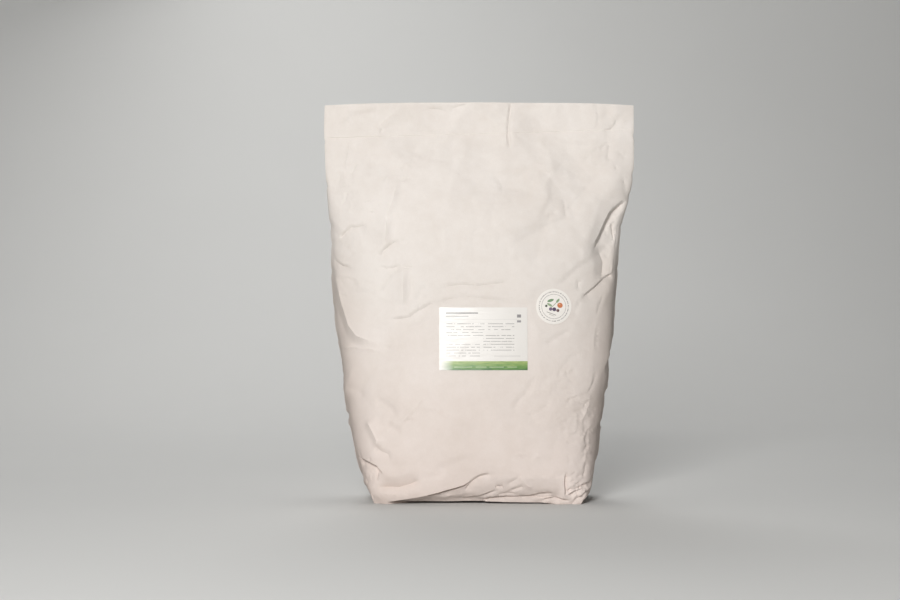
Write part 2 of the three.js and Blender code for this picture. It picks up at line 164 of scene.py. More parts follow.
FRONT_CREASES = creases_from([
    # The hem.
    (1.7, 7, 20, -238, 639, -224, 662, -199, 667, -166, 672),
    (-2.7, 14, 13, -173, 645, -158, 658, -142, 669),
    (1.2, 3, 5, -171, 629, -166, 643),
    (1.7, 3.5, 12, -95, 674, -74, 674, -54, 670),
    (1.7, 3.5, 10, -52, 672, -36, 678, -19, 682),
    (1, 7, 4, -116, 636, -88, 636, -52, 634),
    (2.7, 4, 7, 53, 599, 50, 631, 52, 658, 56, 688),
    (1.2, 4, 10, 204, 639, 205, 664, 200, 686),
    (1.9, 3.5, 10, 214, 636, 227, 638, 235, 646, 239, 658),
    (1.5, 3, 5, 250, 657, 262, 650),
    (1.9, 5, 5, -258, 658, -260, 672, -252, 681),
    # The upper left.
    (1.5, 4, 9, -233, 569, -228, 594, -222, 617),
    (1.5, 4, 8, -246, 541, -241, 552, -240, 566),
    (1.7, 3.5, 8, -220, 546, -220, 562, -213, 571, -210, 581),
    (0.8, 3, 5, -199, 562, -184, 565),
    (0.8, 3, 4, -188, 569, -188, 585),
    (1.2, 3.5, 8, -262, 540, -245, 538, -223, 538),
    (2, 4, 11, -238, 506, -229, 515, -228, 527, -217, 532),
    (1.2, 3, 6, -195, 511, -183, 512),
    (0.8, 3, 5, -172, 498, -172, 511),
    (1.2, 3, 5, -185, 493, -175, 494),
    (3.8, 5, 24, -242, 448, -233, 456, -219, 467, -208, 467, -192, 471),
    (1.4, 3, 4, -264, 462, -244, 456),
    (-4.6, 22, 12, -160, 430, -157, 459, -156, 486, -147, 514, -140, 548),
    (1.7, 4, 11, -166, 544, -159, 556, -142, 558),
    (1.5, 5, 4, -140, 548, -129, 548, -121, 556),
    (1, 6, 7, -129, 551, -132, 567, -127, 583),
    (3.2, 6, 26, -167, 414, -161, 426, -150, 435, -136, 445),
    (1.2, 3, 8, -133, 442, -119, 446),
    (1.5, 5, 10, -106, 590, -94, 593, -87, 602, -71, 608),
    (1.2, 3, 7, -118, 572, -100, 570),
    (0.9, 7, 10, -81, 585, -57, 582, -38, 585),
    (0.9, 7, 12, -40, 560, -19, 565, 2, 563),
    (-0.8, 14, 14, -60, 427, -61, 470, -65, 505),
    (0.7, 14, 12, -9, 407, -13, 444, -2, 487),
    # The upper right.
    (3, 40, 30, 53, 433, 70, 445, 100, 462, 125, 476, 146, 483, 158, 507, 174, 526, 194, 550, 210, 564),
    (1.5, 6, 6, 151, 484, 148, 500, 144, 517),
    (1.4, 6, 5, 117, 482, 133, 493),
    (-2, 15, 22, 106, 523, 115, 547, 125, 563, 122, 585, 119, 602, 126, 616),
    (-1.8, 12, 16, 126, 618, 148, 611, 179, 608, 209, 608),
    (1.3, 4, 4, 207, 603, 217, 611, 226, 617),
    (1.8, 5, 12, 221, 582, 223, 599, 224, 615),
    (1.1, 6, 5, 183, 587, 195, 597, 205, 603),
    (1.3, 4, 6, 236, 562, 236, 576),
    (1.1, 4, 5, 247, 587, 254, 594),
    (1.4, 5, 9, 268, 600, 261, 611, 256, 627),
    (2.9, 4.5, 9, 268, 511, 255, 531, 248, 556),
    (1, 6, 9, 37, 505, 49, 512, 63, 519),
    (0.8, 4, 5, 22, 535, 32, 537),
    # The right shoulder, where the filled body pulls the flat top in.
    (11.6, 50, 6.2, 269, 519, 250, 507, 235, 492, 227, 473, 218, 452, 203, 427),
    (8, 24, 19, 211, 432, 222, 408, 219, 377),
    (-1.8, 7, 18, 254, 498, 253, 462, 250, 434, 240, 394),
    (2.3, 3, 5, 247, 443, 242, 460, 237, 477),
    (2.4, 5, 5, 251, 429, 255, 453, 253, 477),
    (4.7, 26, 4, 249, 391, 224, 379, 206, 364, 179, 345),
    (1.4, 5, 12, 130, 370, 145, 375, 167, 394, 198, 416),
    (1.4, 4, 6, 172, 357, 174, 380),
    (1.1, 6, 6, 164, 313, 169, 329, 177, 343),
    (1.1, 4.5, 8, 210, 317, 215, 334, 223, 352),
    (-1.1, 22, 16, 187, 445, 199, 466, 209, 490),
    # The left edge.
    (3.6, 4, 16, -263, 429, -249, 410, -232, 401, -214, 397),
    (1.4, 3.5, 12, -248, 381, -225, 382, -211, 377, -202, 363),
    (1, 3.5, 6, -193, 370, -174, 373),
    (1.2, 5, 11, -215, 357, -193, 358, -172, 354),
    (-8.2, 34, 17, -255, 405, -243, 369, -232, 334, -220, 300, -205, 282, -186, 275, -167, 269),
    (1, 3, 5, -224, 260, -205, 262),
    (0.8, 3.5, 5, -179, 296, -162, 296),
    (1.1, 3, 4, -156, 260, -148, 266),
    # Beside and above the label.
    (2.3, 4, 12, -166, 401, -154, 396, -142, 397, -131, 402),
    (3.6, 10, 30, -165, 350, -153, 370, -142, 387, -131, 401),
    (-5.2, 30, 10, -125, 333, -125, 367, -127, 399),
    (1.6, 3.5, 6, -126, 397, -109, 399),
    (1.6, 7, 10, -104, 341, -97, 356, -89, 367),
    (3.2, 5, 20, -155, 309, -135, 311, -115, 314, -103, 324, -94, 328, -81, 336, -63, 340, -47, 345, -32, 351),
    (1.1, 3.5, 4, -99, 326, -99, 340),
    (1.4, 8, 10, -120, 296, -97, 306, -76, 314),
    (2.5, 4.5, 14, -69, 364, -48, 367, -27, 369, -3, 367, 21, 370, 54, 373),
    (2.3, 5, 9, -34, 350, -3, 346, 35, 343, 76, 337),
    (1.4, 7, 12, 113, 269, 131, 279, 154, 292),
    (0.8, 6, 12, 141, 230, 156, 245, 175, 254),
    (1, 8, 10, 76, 181, 84, 199, 96, 217),
    (0.6, 6, 8, 131, 199, 143, 209),
    # The lower left.
    (3.3, 12, 22, -174, 176, -156, 170, -144, 160, -136, 147),
    (1.5, 14, 12, -241, 199, -219, 193, -205, 187, -197, 179),
    (-5, 18, 12, -190, 141, -180, 126, -172, 109, -167, 96),
    (-2, 6, 9, -238, 263, -204, 262, -166, 258),
    (3.4, 9, 16, -176, 97, -165, 89, -153, 85, -150, 74),
    (2.2, 9, 14, -153, 134, -141, 129, -128, 121),
    (-1.3, 4.5, 4.5, -131, 135, -115, 151, -100, 169, -89, 184),
    (1.2, 4.5, 12, -95, 157, -79, 157, -64, 153, -50, 145),
    (1.1, 3.5, 5, -120, 141, -108, 144),
    (7.5, 3.5, 18, -220, 76, -193, 68, -177, 62, -166, 50),
    (2.4, 3.5, 5, -178, 37, -175, 59),
    (9, 20, 12, -176, 30, -138, 28, -117, 34, -100, 43),
    (1.2, 10, 18, -81, 52, -64, 64, -41, 74, -18, 80),
    (1, 5, 7, -95, 48, -61, 51),
    # The folds of the block bottom.
    (4, 4.5, 16, -25, 23, -17, 35, -8, 43, 2, 48, 20, 52),
    (3.3, 3.5, 9, -34, 3, -3, 9, 14, 16, 31, 23),
    (2.9, 3, 7, 0, 2, 37, 6, 58, 8, 77, 9),
    (1.9, 3.5, 6, 30, 14, 47, 17, 68, 15),
    (2.9, 6, 5, 54, 21, 65, 27, 75, 30),
    (2.1, 4.5, 5, 26, 30, 41, 29),
    (2.1, 6, 10, 48, 34, 60, 41, 70, 47),
    (4.7, 3.5, 11, 71, 7, 89, 11, 105, 16, 127, 17),
    (4, 3, 5, 115, 3, 128, 8, 144, 8, 163, 5),
    (0.6, 4.5, 5, 99, 47, 111, 47),
    (-1.6, 7, 7, 68, 46, 81, 32, 91, 27),
    # The crumpled lower right corner and flank.
    (5.2, 3.5, 8, 150, 16, 148, 35, 150, 53),
    (1.3, 4.5, 10, 125, 48, 137, 49, 148, 53),
    (1.4, 3.5, 8, 151, 44, 160, 50, 167, 55),
    (3.3, 3.5, 6, 151, 21, 158, 28),
    (3.5, 3.5, 8, 154, 14, 166, 22, 184, 27),
    (3.7, 3.5, 7, 168, 27, 182, 32, 206, 36),
    (1.2, 4.5, 9, 150, 171, 160, 178, 175, 180),
    (0.8, 4.5, 7, 101, 158, 119, 166),
    (1, 4.5, 6, 84, 152, 103, 157),
    (1.1, 8, 9, 56, 161, 66, 176, 83, 190),
    (0.9, 6, 7, 139, 134, 156, 142),
    (0.9, 4.5, 7, 155, 113, 174, 123),
    (0.8, 4.5, 6, 151, 103, 168, 106),
    (0.8, 3.5, 4, 155, 67, 153, 85),
    (0.7, 4.5, 9, 117, 126, 136, 130),
    (1, 3.5, 5, 62, 81, 79, 81),
    (-0.8, 3.5, 5, 88, 77, 103, 84),
    (-1, 7, 6, 178, 138, 189, 154, 196, 171),
    (-0.8, 7, 6, 166, 121, 171, 138, 169, 155),
    (-1, 6, 6, 180, 107, 191, 124, 204, 133),
    (1, 4.5, 5, 184, 87, 192, 100, 185, 111),
    (1.3, 5, 7, 191, 183, 201, 201, 207, 221),
    (1, 5, 6, 207, 255, 208, 278, 212, 300),
    (-0.8, 6, 6, 175, 58, 185, 74, 187, 94),
    (1.1, 4, 5, 180, 39, 186, 55, 187, 70),
    (-0.6, 12, 14, 190, 14, 197, 60, 196, 129, 194, 191, 200, 243, 209, 304, 222, 366),
    (3.1, 4, 9, -206, 46, -196, 24, -190, 6),
    (3.6, 4, 6, 172, 8, 186, 20, 206, 22),
])

SIDE_CREASES = creases_from([
    # On the right side, from the side fold to the back.
    (9, 6, 44, 268, 505, 300, 478, 322, 438, 330, 396),
    (5, 9, 9, 262, 470, 276, 446, 272, 420),
    (6, 5, 30, 266, 366, 306, 350, 344, 322),
    (-3, 10, 10, 262, 330, 290, 300, 286, 262),
    (4, 6, 20, 272, 258, 312, 242, 350, 250),
    (4, 6, 16, 258, 196, 282, 170, 318, 160),
    (4, 6, 18, 270, 120, 310, 104, 352, 112),
    (6, 7, 26, 300, 92, 338, 66, 384, 20),
    (4, 5, 14, 236, 62, 262, 40, 300, 30),
    (4.5, 4, 20, 230, 10, 268, 18, 330, 8),
    # On the left side.
    (8, 44, 6, -268, 488, -304, 464, -326, 424, -340, 384),
    (5, 24, 6, -262, 330, -300, 344, -340, 318),
    (-3, 10, 10, -276, 286, -300, 262, -296, 228),
    (4, 22, 6, -264, 214, -306, 226, -352, 206),
    (4, 16, 6, -258, 150, -292, 138, -330, 146),
    (6, 24, 7, -286, 104, -328, 76, -376, 18),
    (4.5, 18, 4, -240, 12, -280, 20, -340, 8),
])

BACK_CREASES = creases_from([
    (7, 44, 9, 372, 446, 440, 472, 524, 452),
    (6, 9, 46, -360, 430, -430, 464, -504, 472),
    (5, 6, 20, -300, 446, -336, 424, -350, 392),
    (6, 20, 5, 300, 440, 340, 416, 356, 380),
    (3, 14, 6, -420, 330, -470, 318, -520, 330),
    (3.5, 6, 16, 384, 318, 430, 302, 470, 312),
    (2.4, 5, 14, 480, 236, 520, 214, 560, 222),
    (5, 6, 24, 366, 128, 404, 96, 446, 84),
    (4, 22, 6, -372, 148, -410, 110, -452, 100),
    (4, 8, 4, -352, 62, -372, 44, -392, 50),
    (4, 4, 8, 346, 60, 362, 40, 388, 46),
])

# The back is folded much like the front, the other way round, where nothing named lies.
BACK_SHARE = 0.8  # of the front's depth
BACK_REACH = 190  # it has those that begin this near to the middle, between these heights, and are no deeper
BACK_HEIGHTS = 60, 425
BACK_DEEPEST = 6
BACK_LIKE_FRONT = [
    Crease(BACK_SHARE * crease.depth, crease.right, crease.left, crease.path * (-1, 1) + (TUBE_WIDTH, 0))
    for crease in FRONT_CREASES
    if abs(crease.path[0][0]) < BACK_REACH
    and BACK_HEIGHTS[0] < crease.path[0][1] < BACK_HEIGHTS[1]
    and abs(crease.depth) < BACK_DEEPEST
]

SHARP_FLANK = 7  # a flank that is no wider than this ends in a crisp line
FLANK_CURVE = 1.35  # how a flank falls away: 1 is flat, more is hollow
END_DEPTH = 0.15  # share of its depth that a crease has at its very ends
END_RISE = 5  # how fast it deepens from there
FOLD_REACH = 4.5  # how far from a crease's line its paper is rubbed paler on a ridge and given painted shade in a hollow
FULL_WEAR_AND_SHADE = 3  # a crease this deep has its full mark: rubbed pallor on a ridge, painted shade in a hollow

# Broad swells of the walls: (paper, height), reach, and how far they are pressed in.
Swell = namedtuple("Swell", "at size depth")
SWELLS = [
    Swell((-40, 150), (170, 110), -4),
    Swell((90, 330), (120, 90), -3),
    Swell((-170, 220), (60, 90), 3),
    Swell((10, 540), (150, 60), 5),
    Swell((165, 552), (64, 52), 7),
    Swell((-200, 540), (50, 60), -4),
    Swell((440, 240), (120, 120), -4),
    Swell((-430, 200), (110, 100), -4),
    Swell((-470, 540), (80, 60), 6),
]

# How far apart the sheet's points are where no crease asks for more, on the front and sides and on the back, and
# how far apart they are along a crease.
FRONT_CELL = 3.7
BACK_CELL = 6.5
CREASE_CELL = 2.6
CREASE_CLEAR = 1.5  # how far apart the points on the creases' wide flanks are at least
FLANK_SHARES = 0.3, 0.65, 1  # where those points are, from a crease's line to its foot
FINE_REACH = 1.3 * QUARTER  # the front's spacing reaches this far round
ROW_SHARE = 0.87  # how far apart the rows of points are, as a share of their spacing
FILL_JITTER = 0.2  # how far the points are off an even grid, and how clear of the others they keep, as shares too
FILL_CLEAR = 0.55

# The paper's flat facets: how far apart their corners are, and how far these are pressed in or out.
FACETS = [(62, 2.6), (30, 1.2), (15, 0.35)]

# How freely the paper crumples: it is held at the first place or height and free at the second, where it takes the
# third as its share. The places are distances from a side fold.
LOOSE_EDGE = 120, 20, 1
LOOSE_TOP = 360, 470, 0.8
LOOSE_FOOT = 70, 20, 0.9
LOOSE_LEAST = 0.35
LOOSE_MORE = 0.55

# The corners of the block bottom, where its folded triangles stick out: place, how far out, reach and height.
Ear = namedtuple("Ear", "at out reach height")
EAR_FOOT = 1.5  # the lines along their edges start at this height
EARS = [Ear(-196, 5, 9, 30), Ear(183, 7, 10, 34), Ear(352, 6, 12, 32), Ear(-346, 6, 12, 32)]

# Small kinks in the side folds: side (-1 left, 1 right), height, half their height and how far they go in.
Notch = namedtuple("Notch", "side height reach depth")
NOTCHES = [
    *[Notch(-1, *at) for at in ((617, 6, 1.2), (541, 9, 2), (472, 12, 2.4), (440, 7, 1.2), (393, 10, 1.8))],
    *[Notch(1, *at) for at in ((628, 8, 1.4), (560, 10, 2.2), (524, 8, 1.6), (470, 9, 1.6), (398, 8, 1.4))],
    Notch(1, 246, 7, 2),
    Notch(1, 133, 9, 2.6),
]
NOTCH_WIDTH = 26

# Where the paper is crumpled finely: middle, spread, how many small creases, their length, depth and how steeply
# they run (0 is level, 90 upright).
Crumple = namedtuple("Crumple", "at spread count length depth slope")
CRUMPLES = [
    Crumple((190, 130), (34, 90), 80, (8, 24), (0.15, 0.7), 20),
    Crumple((176, 26), (24, 22), 34, (7, 18), (0.6, 1.8), 40),
    Crumple((-204, 50), (22, 36), 16, (8, 24), (0.5, 1.5), 60),
    Crumple((-226, 560), (26, 60), 26, (10, 30), (0.2, 0.75), 75),
    Crumple((-232, 430), (26, 60), 20, (12, 30), (0.3, 0.9), 30),
    Crumple((244, 450), (18, 44), 16, (10, 26), (0.4, 1.2), 60),
    Crumple((-180, 655), (70, 20), 12, (16, 36), (0.15, 0.5), 25),
    Crumple((220, 600), (30, 50), 8, (14, 34), (0.2, 0.6), 60),
    Crumple((40, 14), (120, 10), 14, (10, 30), (0.5, 1.4), 12),
    Crumple((0, 540), (160, 60), 8, (24, 60), (0.1, 0.35), 50),
    Crumple((-130, 330), (80, 110), 8, (20, 50), (0.15, 0.4), 40),
    Crumple((130, 170), (50, 110), 24, (12, 34), (0.15, 0.5), 30),
    *[Crumple((at, 230), (46, 200), 60, (14, 44), (0.4, 1.6), 25) for at in (310, -310)],
    *[Crumple((at, 26), (28, 22), 20, (8, 22), (0.6, 1.8), 40) for at in (352, -346)],
    *[Crumple((at, 330), (90, 260), 46, (24, 70), (0.2, 1), 40) for at in (450, -450)],
]
CRUMPLE_SPREAD = 0.55  # the standard deviation of their places, as a share of the zone's spread
CRUMPLE_TURN = 28  # that of their slopes, in degrees
CRUMPLE_BEND = 0.35  # how far their middle is off a straight line at most, as a share of half their length
CRISP_SIDE = 2.5, 5  # the width of their sharp flank
SOFT_SIDE = 0.25, 0.5  # and that of their soft one, as a share of their length


# ---- Shaping ----
def mix(a, b, t):
    return a + (b - a) * t


def smooth_step(low, high, value):
    t = np.clip((value - low) / (high - low), 0, 1)
    return t * t * (3 - 2 * t)


def outline(measure, z):
    """A measure of the outline at heights z, on a smooth curve through the table."""
    levels, values = OUTLINE[:, 0], OUTLINE[:, measure]
    slopes = np.empty_like(values)
    slopes[1:-1] = (values[2:] - values[:-2]) / (levels[2:] - levels[:-2])
    slopes[0] = (values[1] - values[0]) / (levels[1] - levels[0])
    slopes[-1] = (values[-1] - values[-2]) / (levels[-1] - levels[-2])
    i = np.clip(np.searchsorted(levels, z, side="right") - 1, 0, len(levels) - 2)
    span = levels[i + 1] - levels[i]
    t = np.clip((z - levels[i]) / span, 0, 1)
    return (
        (2 * t**3 - 3 * t**2 + 1) * values[i]
        + (t**3 - 2 * t**2 + t) * span * slopes[i]
        + (3 * t**2 - 2 * t**3) * values[i + 1]
        + (t**3 - t**2) * span * slopes[i + 1]
    )


class Sections:
    """Quarter cross-sections of the sack at every millimetre of height, evenly spaced along the paper."""

    STEPS = 240
    SHARES = 160

    def __init__(self):
        self.levels = np.arange(0, HEIGHT + 1)
        angles = np.linspace(0, math.pi / 2, self.STEPS + 1)
        shares = np.linspace(0, 1, self.SHARES + 1)
        power = 2 / outline(SQUARE, self.levels)[:, None]
        unit_across = np.sin(angles)[None, :] ** power
        unit_out = np.clip(np.cos(angles), 0, 1)[None, :] ** power
        out = outline(DEPTH, self.levels)[:, None] * unit_out
        self.tables = {}
        for side in (LEFT, RIGHT):
            across = outline(side, self.levels)[:, None] * unit_across
            steps = np.hypot(np.diff(across), np.diff(out))
            length = np.concatenate([np.zeros((len(steps), 1)), np.cumsum(steps, axis=1)], axis=1)
            length /= length[:, -1:]
            self.tables[side] = [
                np.array([np.interp(shares, row, values) for row, values in zip(length, measure)])
                for measure in (across, out)
            ]

    def look_up(self, table, z, share):
        row = np.clip(z, 0, HEIGHT - 1e-6)
        column = np.clip(share, 0, 1) * self.SHARES
        r, c = row.astype(int), np.minimum(column.astype(int), self.SHARES - 1)
        u, v = row - r, column - c
        low = mix(table[r, c], table[r, c + 1], v)
        return mix(low, mix(table[r + 1, c], table[r + 1, c + 1], v), u)

    def at(self, share, z, right):
        """Distance from the sack's middle across, and out from its middle plane, in millimetres."""
        return [
            np.where(right, self.look_up(right_table, z, share), self.look_up(left_table, z, share))
            for left_table, right_table in zip(self.tables[LEFT], self.tables[RIGHT])
        ]


def facing(paper):
    """The place on the other wall that a place lies against when the tube is flat."""
    return np.where(paper < 0, -1, 1) * (TUBE_WIDTH - np.abs(paper))


def in_front(paper):
    return np.where(np.abs(paper) <= QUARTER, paper, facing(paper))


def hem_line(paper):
    return HEIGHT - mix(HEM_LEFT, HEM_RIGHT, (paper + QUARTER) / TUBE_WIDTH)


def top_line(paper):
    return HEIGHT - CORNER_DROP * (np.abs(paper) / QUARTER) ** 3


def crease_press(crease, paper, z):
    """How far a crease presses in each place, and its mark near its line, from ±1 on it to 0 a few millimetres off:
    a ridge is rubbed paler and a hollow gets painted shade.
    """
    lengths = np.hypot(*np.diff(crease.path, axis=0).T)
    best = np.full(paper.shape, np.inf)
    along = np.zeros(paper.shape)
    side = np.ones(paper.shape)
    before = 0.0
    for (ax, az), (bx, bz), length in zip(crease.path[:-1], crease.path[1:], lengths):
        dx, dz = bx - ax, bz - az
        t = np.clip(((paper - ax) * dx + (z - az) * dz) / length**2, 0, 1)
        ox, oz = paper - ax - dx * t, z - az - dz * t
        distance = np.hypot(ox, oz)
        closer = distance < best
        best = np.where(closer, distance, best)
        along = np.where(closer, (before + length * t) / lengths.sum(), along)
        side = np.where(closer, dx * oz - dz * ox, side)
        before += length
    flank = np.where(side > 0, crease.left, crease.right)
    taper = np.minimum(1, END_RISE * np.minimum(along, 1 - along) + END_DEPTH)
    press = crease.depth * np.clip(1 - best / flank, 0, 1) ** FLANK_CURVE * taper
    # Painted shade along a hollow, rubbed pallor along a ridge.
    wear_and_shade = np.clip(crease.depth / FULL_WEAR_AND_SHADE, -1, 1) * np.clip(1 - best / FOLD_REACH, 0, 1) * taper
    return press, wear_and_shade


def round_distance(a, b):
    """Distance round the tube, the short way."""
    d = np.mod(a - b, GIRTH)
    return np.minimum(d, GIRTH - d)


def small_creases(seed):
    """The fine crumples as creases, each zone's own draw."""
    random = np.random.default_rng(seed)
    creases = []
    for zone in CRUMPLES:
        for _ in range(zone.count):
            at = random.normal(zone.at, np.array(zone.spread) * CRUMPLE_SPREAD)
            length = random.uniform(*zone.length)
            slope = math.radians(random.normal(zone.slope, CRUMPLE_TURN)) * random.choice([-1, 1])
            step = np.array([math.cos(slope), math.sin(slope)]) * length / 2
            bend = np.array([-step[1], step[0]]) * random.uniform(-CRUMPLE_BEND, CRUMPLE_BEND)
            depth = random.uniform(*zone.depth) * random.choice([-1, 1, 1])
            flanks = random.uniform(*CRISP_SIDE), random.uniform(*SOFT_SIDE) * length
            left, right = flanks if random.random() < 0.5 else flanks[::-1]
            creases.append(Crease(depth, left, right, np.array([at - step, at + bend, at + step])))
    return creases


def looseness(paper, z):
    """How freely the paper crumples: least where the feed stretches a panel, most at the edges and the top."""
    from_fold = np.abs(np.abs(paper) - QUARTER)
    zones = (from_fold, LOOSE_EDGE), (z, LOOSE_TOP), (z, LOOSE_FOOT)
    freedom = [share * smooth_step(held, free, place) for place, (held, free, share) in zones]
    return LOOSE_LEAST + LOOSE_MORE * np.maximum.reduce(freedom)


class Relief:
    """How far each place of the paper is pressed in, and its crease marks there: ridges rubbed paler, painted shade
    in the hollows.
    """

    CELL = 2.0  # of the map that the flat facets are drawn on
    JITTER = 0.48  # how far the facets' corners are off an even grid, as a share of its spacing

    def __init__(self, seed, crumple):
        self.creases = FRONT_CREASES + SIDE_CREASES + BACK_CREASES + BACK_LIKE_FRONT + small_creases(seed)
        self.cell = GIRTH / round(GIRTH / self.CELL)
        self.map = np.zeros((int(HEIGHT / self.cell) + 3, round(GIRTH / self.cell)))
        for spacing, height in FACETS:
            self.map += crumple * height * self.facets(seed + spacing, spacing)

    def facets(self, seed, spacing):
        """Flat facets between points strewn over the tube, each at its own height."""
        random = np.random.default_rng(seed)
        across, up = int(GIRTH / spacing), int(HEIGHT / spacing) + 3
        places = np.stack(np.meshgrid(np.arange(across), np.arange(up)), axis=-1).reshape(-1, 2)
        places = places + random.uniform(-self.JITTER, self.JITTER, (across * up, 2))
        places = places * (GIRTH / across, spacing) - (TUBE_WIDTH, spacing)
        heights = np.tile(random.normal(0, 1, len(places)), 3)
        points = np.concatenate([places + (shift, 0) for shift in (-GIRTH, 0, GIRTH)])
        keep = np.abs(points[:, 0]) < TUBE_WIDTH + 3 * spacing
        points, heights = points[keep], heights[keep]
        corners, _, triangles, origins, _, _ = delaunay_2d_cdt([tuple(p) for p in points], [], [], 0, 1e-6)
        heights = heights[[origin[0] for origin in origins]]
        corners = (np.array(corners) + (TUBE_WIDTH, 0)) / self.cell
        relief = np.zeros_like(self.map)
        for triangle in triangles:
            self.fill(relief, corners[triangle], heights[triangle])
        return relief

    def fill(self, relief, corners, heights):
        """Writes one flat facet into a map."""
        size = relief.shape[::-1]
        low = np.maximum(np.floor(corners.min(axis=0)).astype(int), 0)
        high = np.minimum(np.ceil(corners.max(axis=0)).astype(int) + 1, size)
        (ax, ay), (bx, by), (cx, cy) = corners
        area = (bx - ax) * (cy - ay) - (cx - ax) * (by - ay)
        if (low >= high).any() or abs(area) < 1e-9:
            return
        x, y = np.meshgrid(np.arange(low[0], high[0]), np.arange(low[1], high[1]))
        v = ((x - ax) * (cy - ay) - (cx - ax) * (y - ay)) / area
        w = ((bx - ax) * (y - ay) - (x - ax) * (by - ay)) / area
        inside = (v + w <= 1 + 1e-9) & (v >= -1e-9) & (w >= -1e-9)
        relief[y[inside], x[inside]] = ((1 - v - w) * heights[0] + v * heights[1] + w * heights[2])[inside]

    def facets_at(self, paper, z):
        """The facets' height between the map's cells."""
        column = np.mod(paper + TUBE_WIDTH, GIRTH) / self.cell
        row = np.clip(z / self.cell, 0, len(self.map) - 1.001)
        c, r = column.astype(int) % self.map.shape[1], row.astype(int)
        beside = (c + 1) % self.map.shape[1]
        v, u = column - column.astype(int), row - r
        low = mix(self.map[r, c], self.map[r, beside], v)
        return mix(low, mix(self.map[r + 1, c], self.map[r + 1, beside], v), u)

    def at(self, paper, z):
        press = self.facets_at(paper, z) * looseness(paper, z)
        fold = np.zeros_like(press)
        for crease in self.creases:
            here = paper - GIRTH * np.rint((paper - crease.path[:, 0].mean()) / GIRTH)
            reach = max(crease.left, crease.right)
            low, high = crease.path.min(axis=0) - reach, crease.path.max(axis=0) + reach
            near = np.flatnonzero((here > low[0]) & (here < high[0]) & (z > low[1]) & (z < high[1]))
            if len(near):
                deeper, wear_and_shade = crease_press(crease, here[near], z[near])
                press[near] += deeper
                fold[near] += wear_and_shade
        for swell in SWELLS:
            across = round_distance(paper, swell.at[0]) / swell.size[0]
            reach = np.hypot(across, (z - swell.at[1]) / swell.size[1])
            press += swell.depth * np.clip(1 - reach**2, 0, 1) ** 2
        return press, fold


def held_flat(x, z):
    """1 under the label and the sticker, whose paper keeps the wall nearly flat, and 0 away from them."""
    label_middle = (LABEL_LOW + LABEL_HIGH) / 2 / MM
    label_half = (LABEL_HIGH - LABEL_LOW) / 2 / MM
    sticker_middle = (STICKER_LOW + STICKER_HIGH) / 2 / MM
    radius = (STICKER_HIGH.x - STICKER_LOW.x) / 2 / MM
    label = np.maximum(np.abs(x - label_middle.x) - label_half.x, np.abs(z - label_middle.z) - label_half.z)
    sticker = np.hypot(x - sticker_middle.x, z - sticker_middle.z) - radius
    return 1 - smooth_step(*HELD_MARGIN, np.minimum(label, sticker))


def base_tuck(paper, z):
    """How far the wall is drawn in under the sack below the corner flap, and 1 where it is and 0 elsewhere."""
    along = np.where(np.abs(paper) <= QUARTER, paper, -facing(paper))
    below = np.interp(along, *FLAP_EDGE.T) - z
    under = smooth_step(-FLAP_SOFT, FLAP_SOFT, below)
    under *= smooth_step(*TUCK_ENDS[::-1], np.abs(along - TUCK_MIDDLE))
    strip_edge = np.interp(along, *STRIP_EDGE.T)
    tuck = TUCK * np.clip(TUCK_HEIGHT - np.maximum(z, strip_edge), 0, None) ** 2
    groove = FLAP_GROOVE * np.clip(1 - np.abs(below - FLAP_GROOVE_BELOW) / FLAP_GROOVE_WIDTH, 0, 1)
    tuck += (FLAP_STEP + groove) * smooth_step(*FLAP_ENDS, along)
    tuck -= STRIP_OUT * smooth_step(STRIP_SOFT, -STRIP_SOFT, z - strip_edge)
    return tuck * under, under


def plain_wall(paper, z, sections):
    """The wall before it is creased, for places all round the tube."""
    paper = paper - GIRTH * np.rint(paper / GIRTH)
    right = paper >= 0
    front = np.abs(paper) <= QUARTER
    share = np.where(front, np.abs(paper), TUBE_WIDTH - np.abs(paper)) / QUARTER
    across, out = sections.at(share, z, right)
    y = outline(LEAN, z) + np.where(front, -1, 1) * out
    return np.stack([np.where(right, 1, -1) * across, y, z], axis=-1)


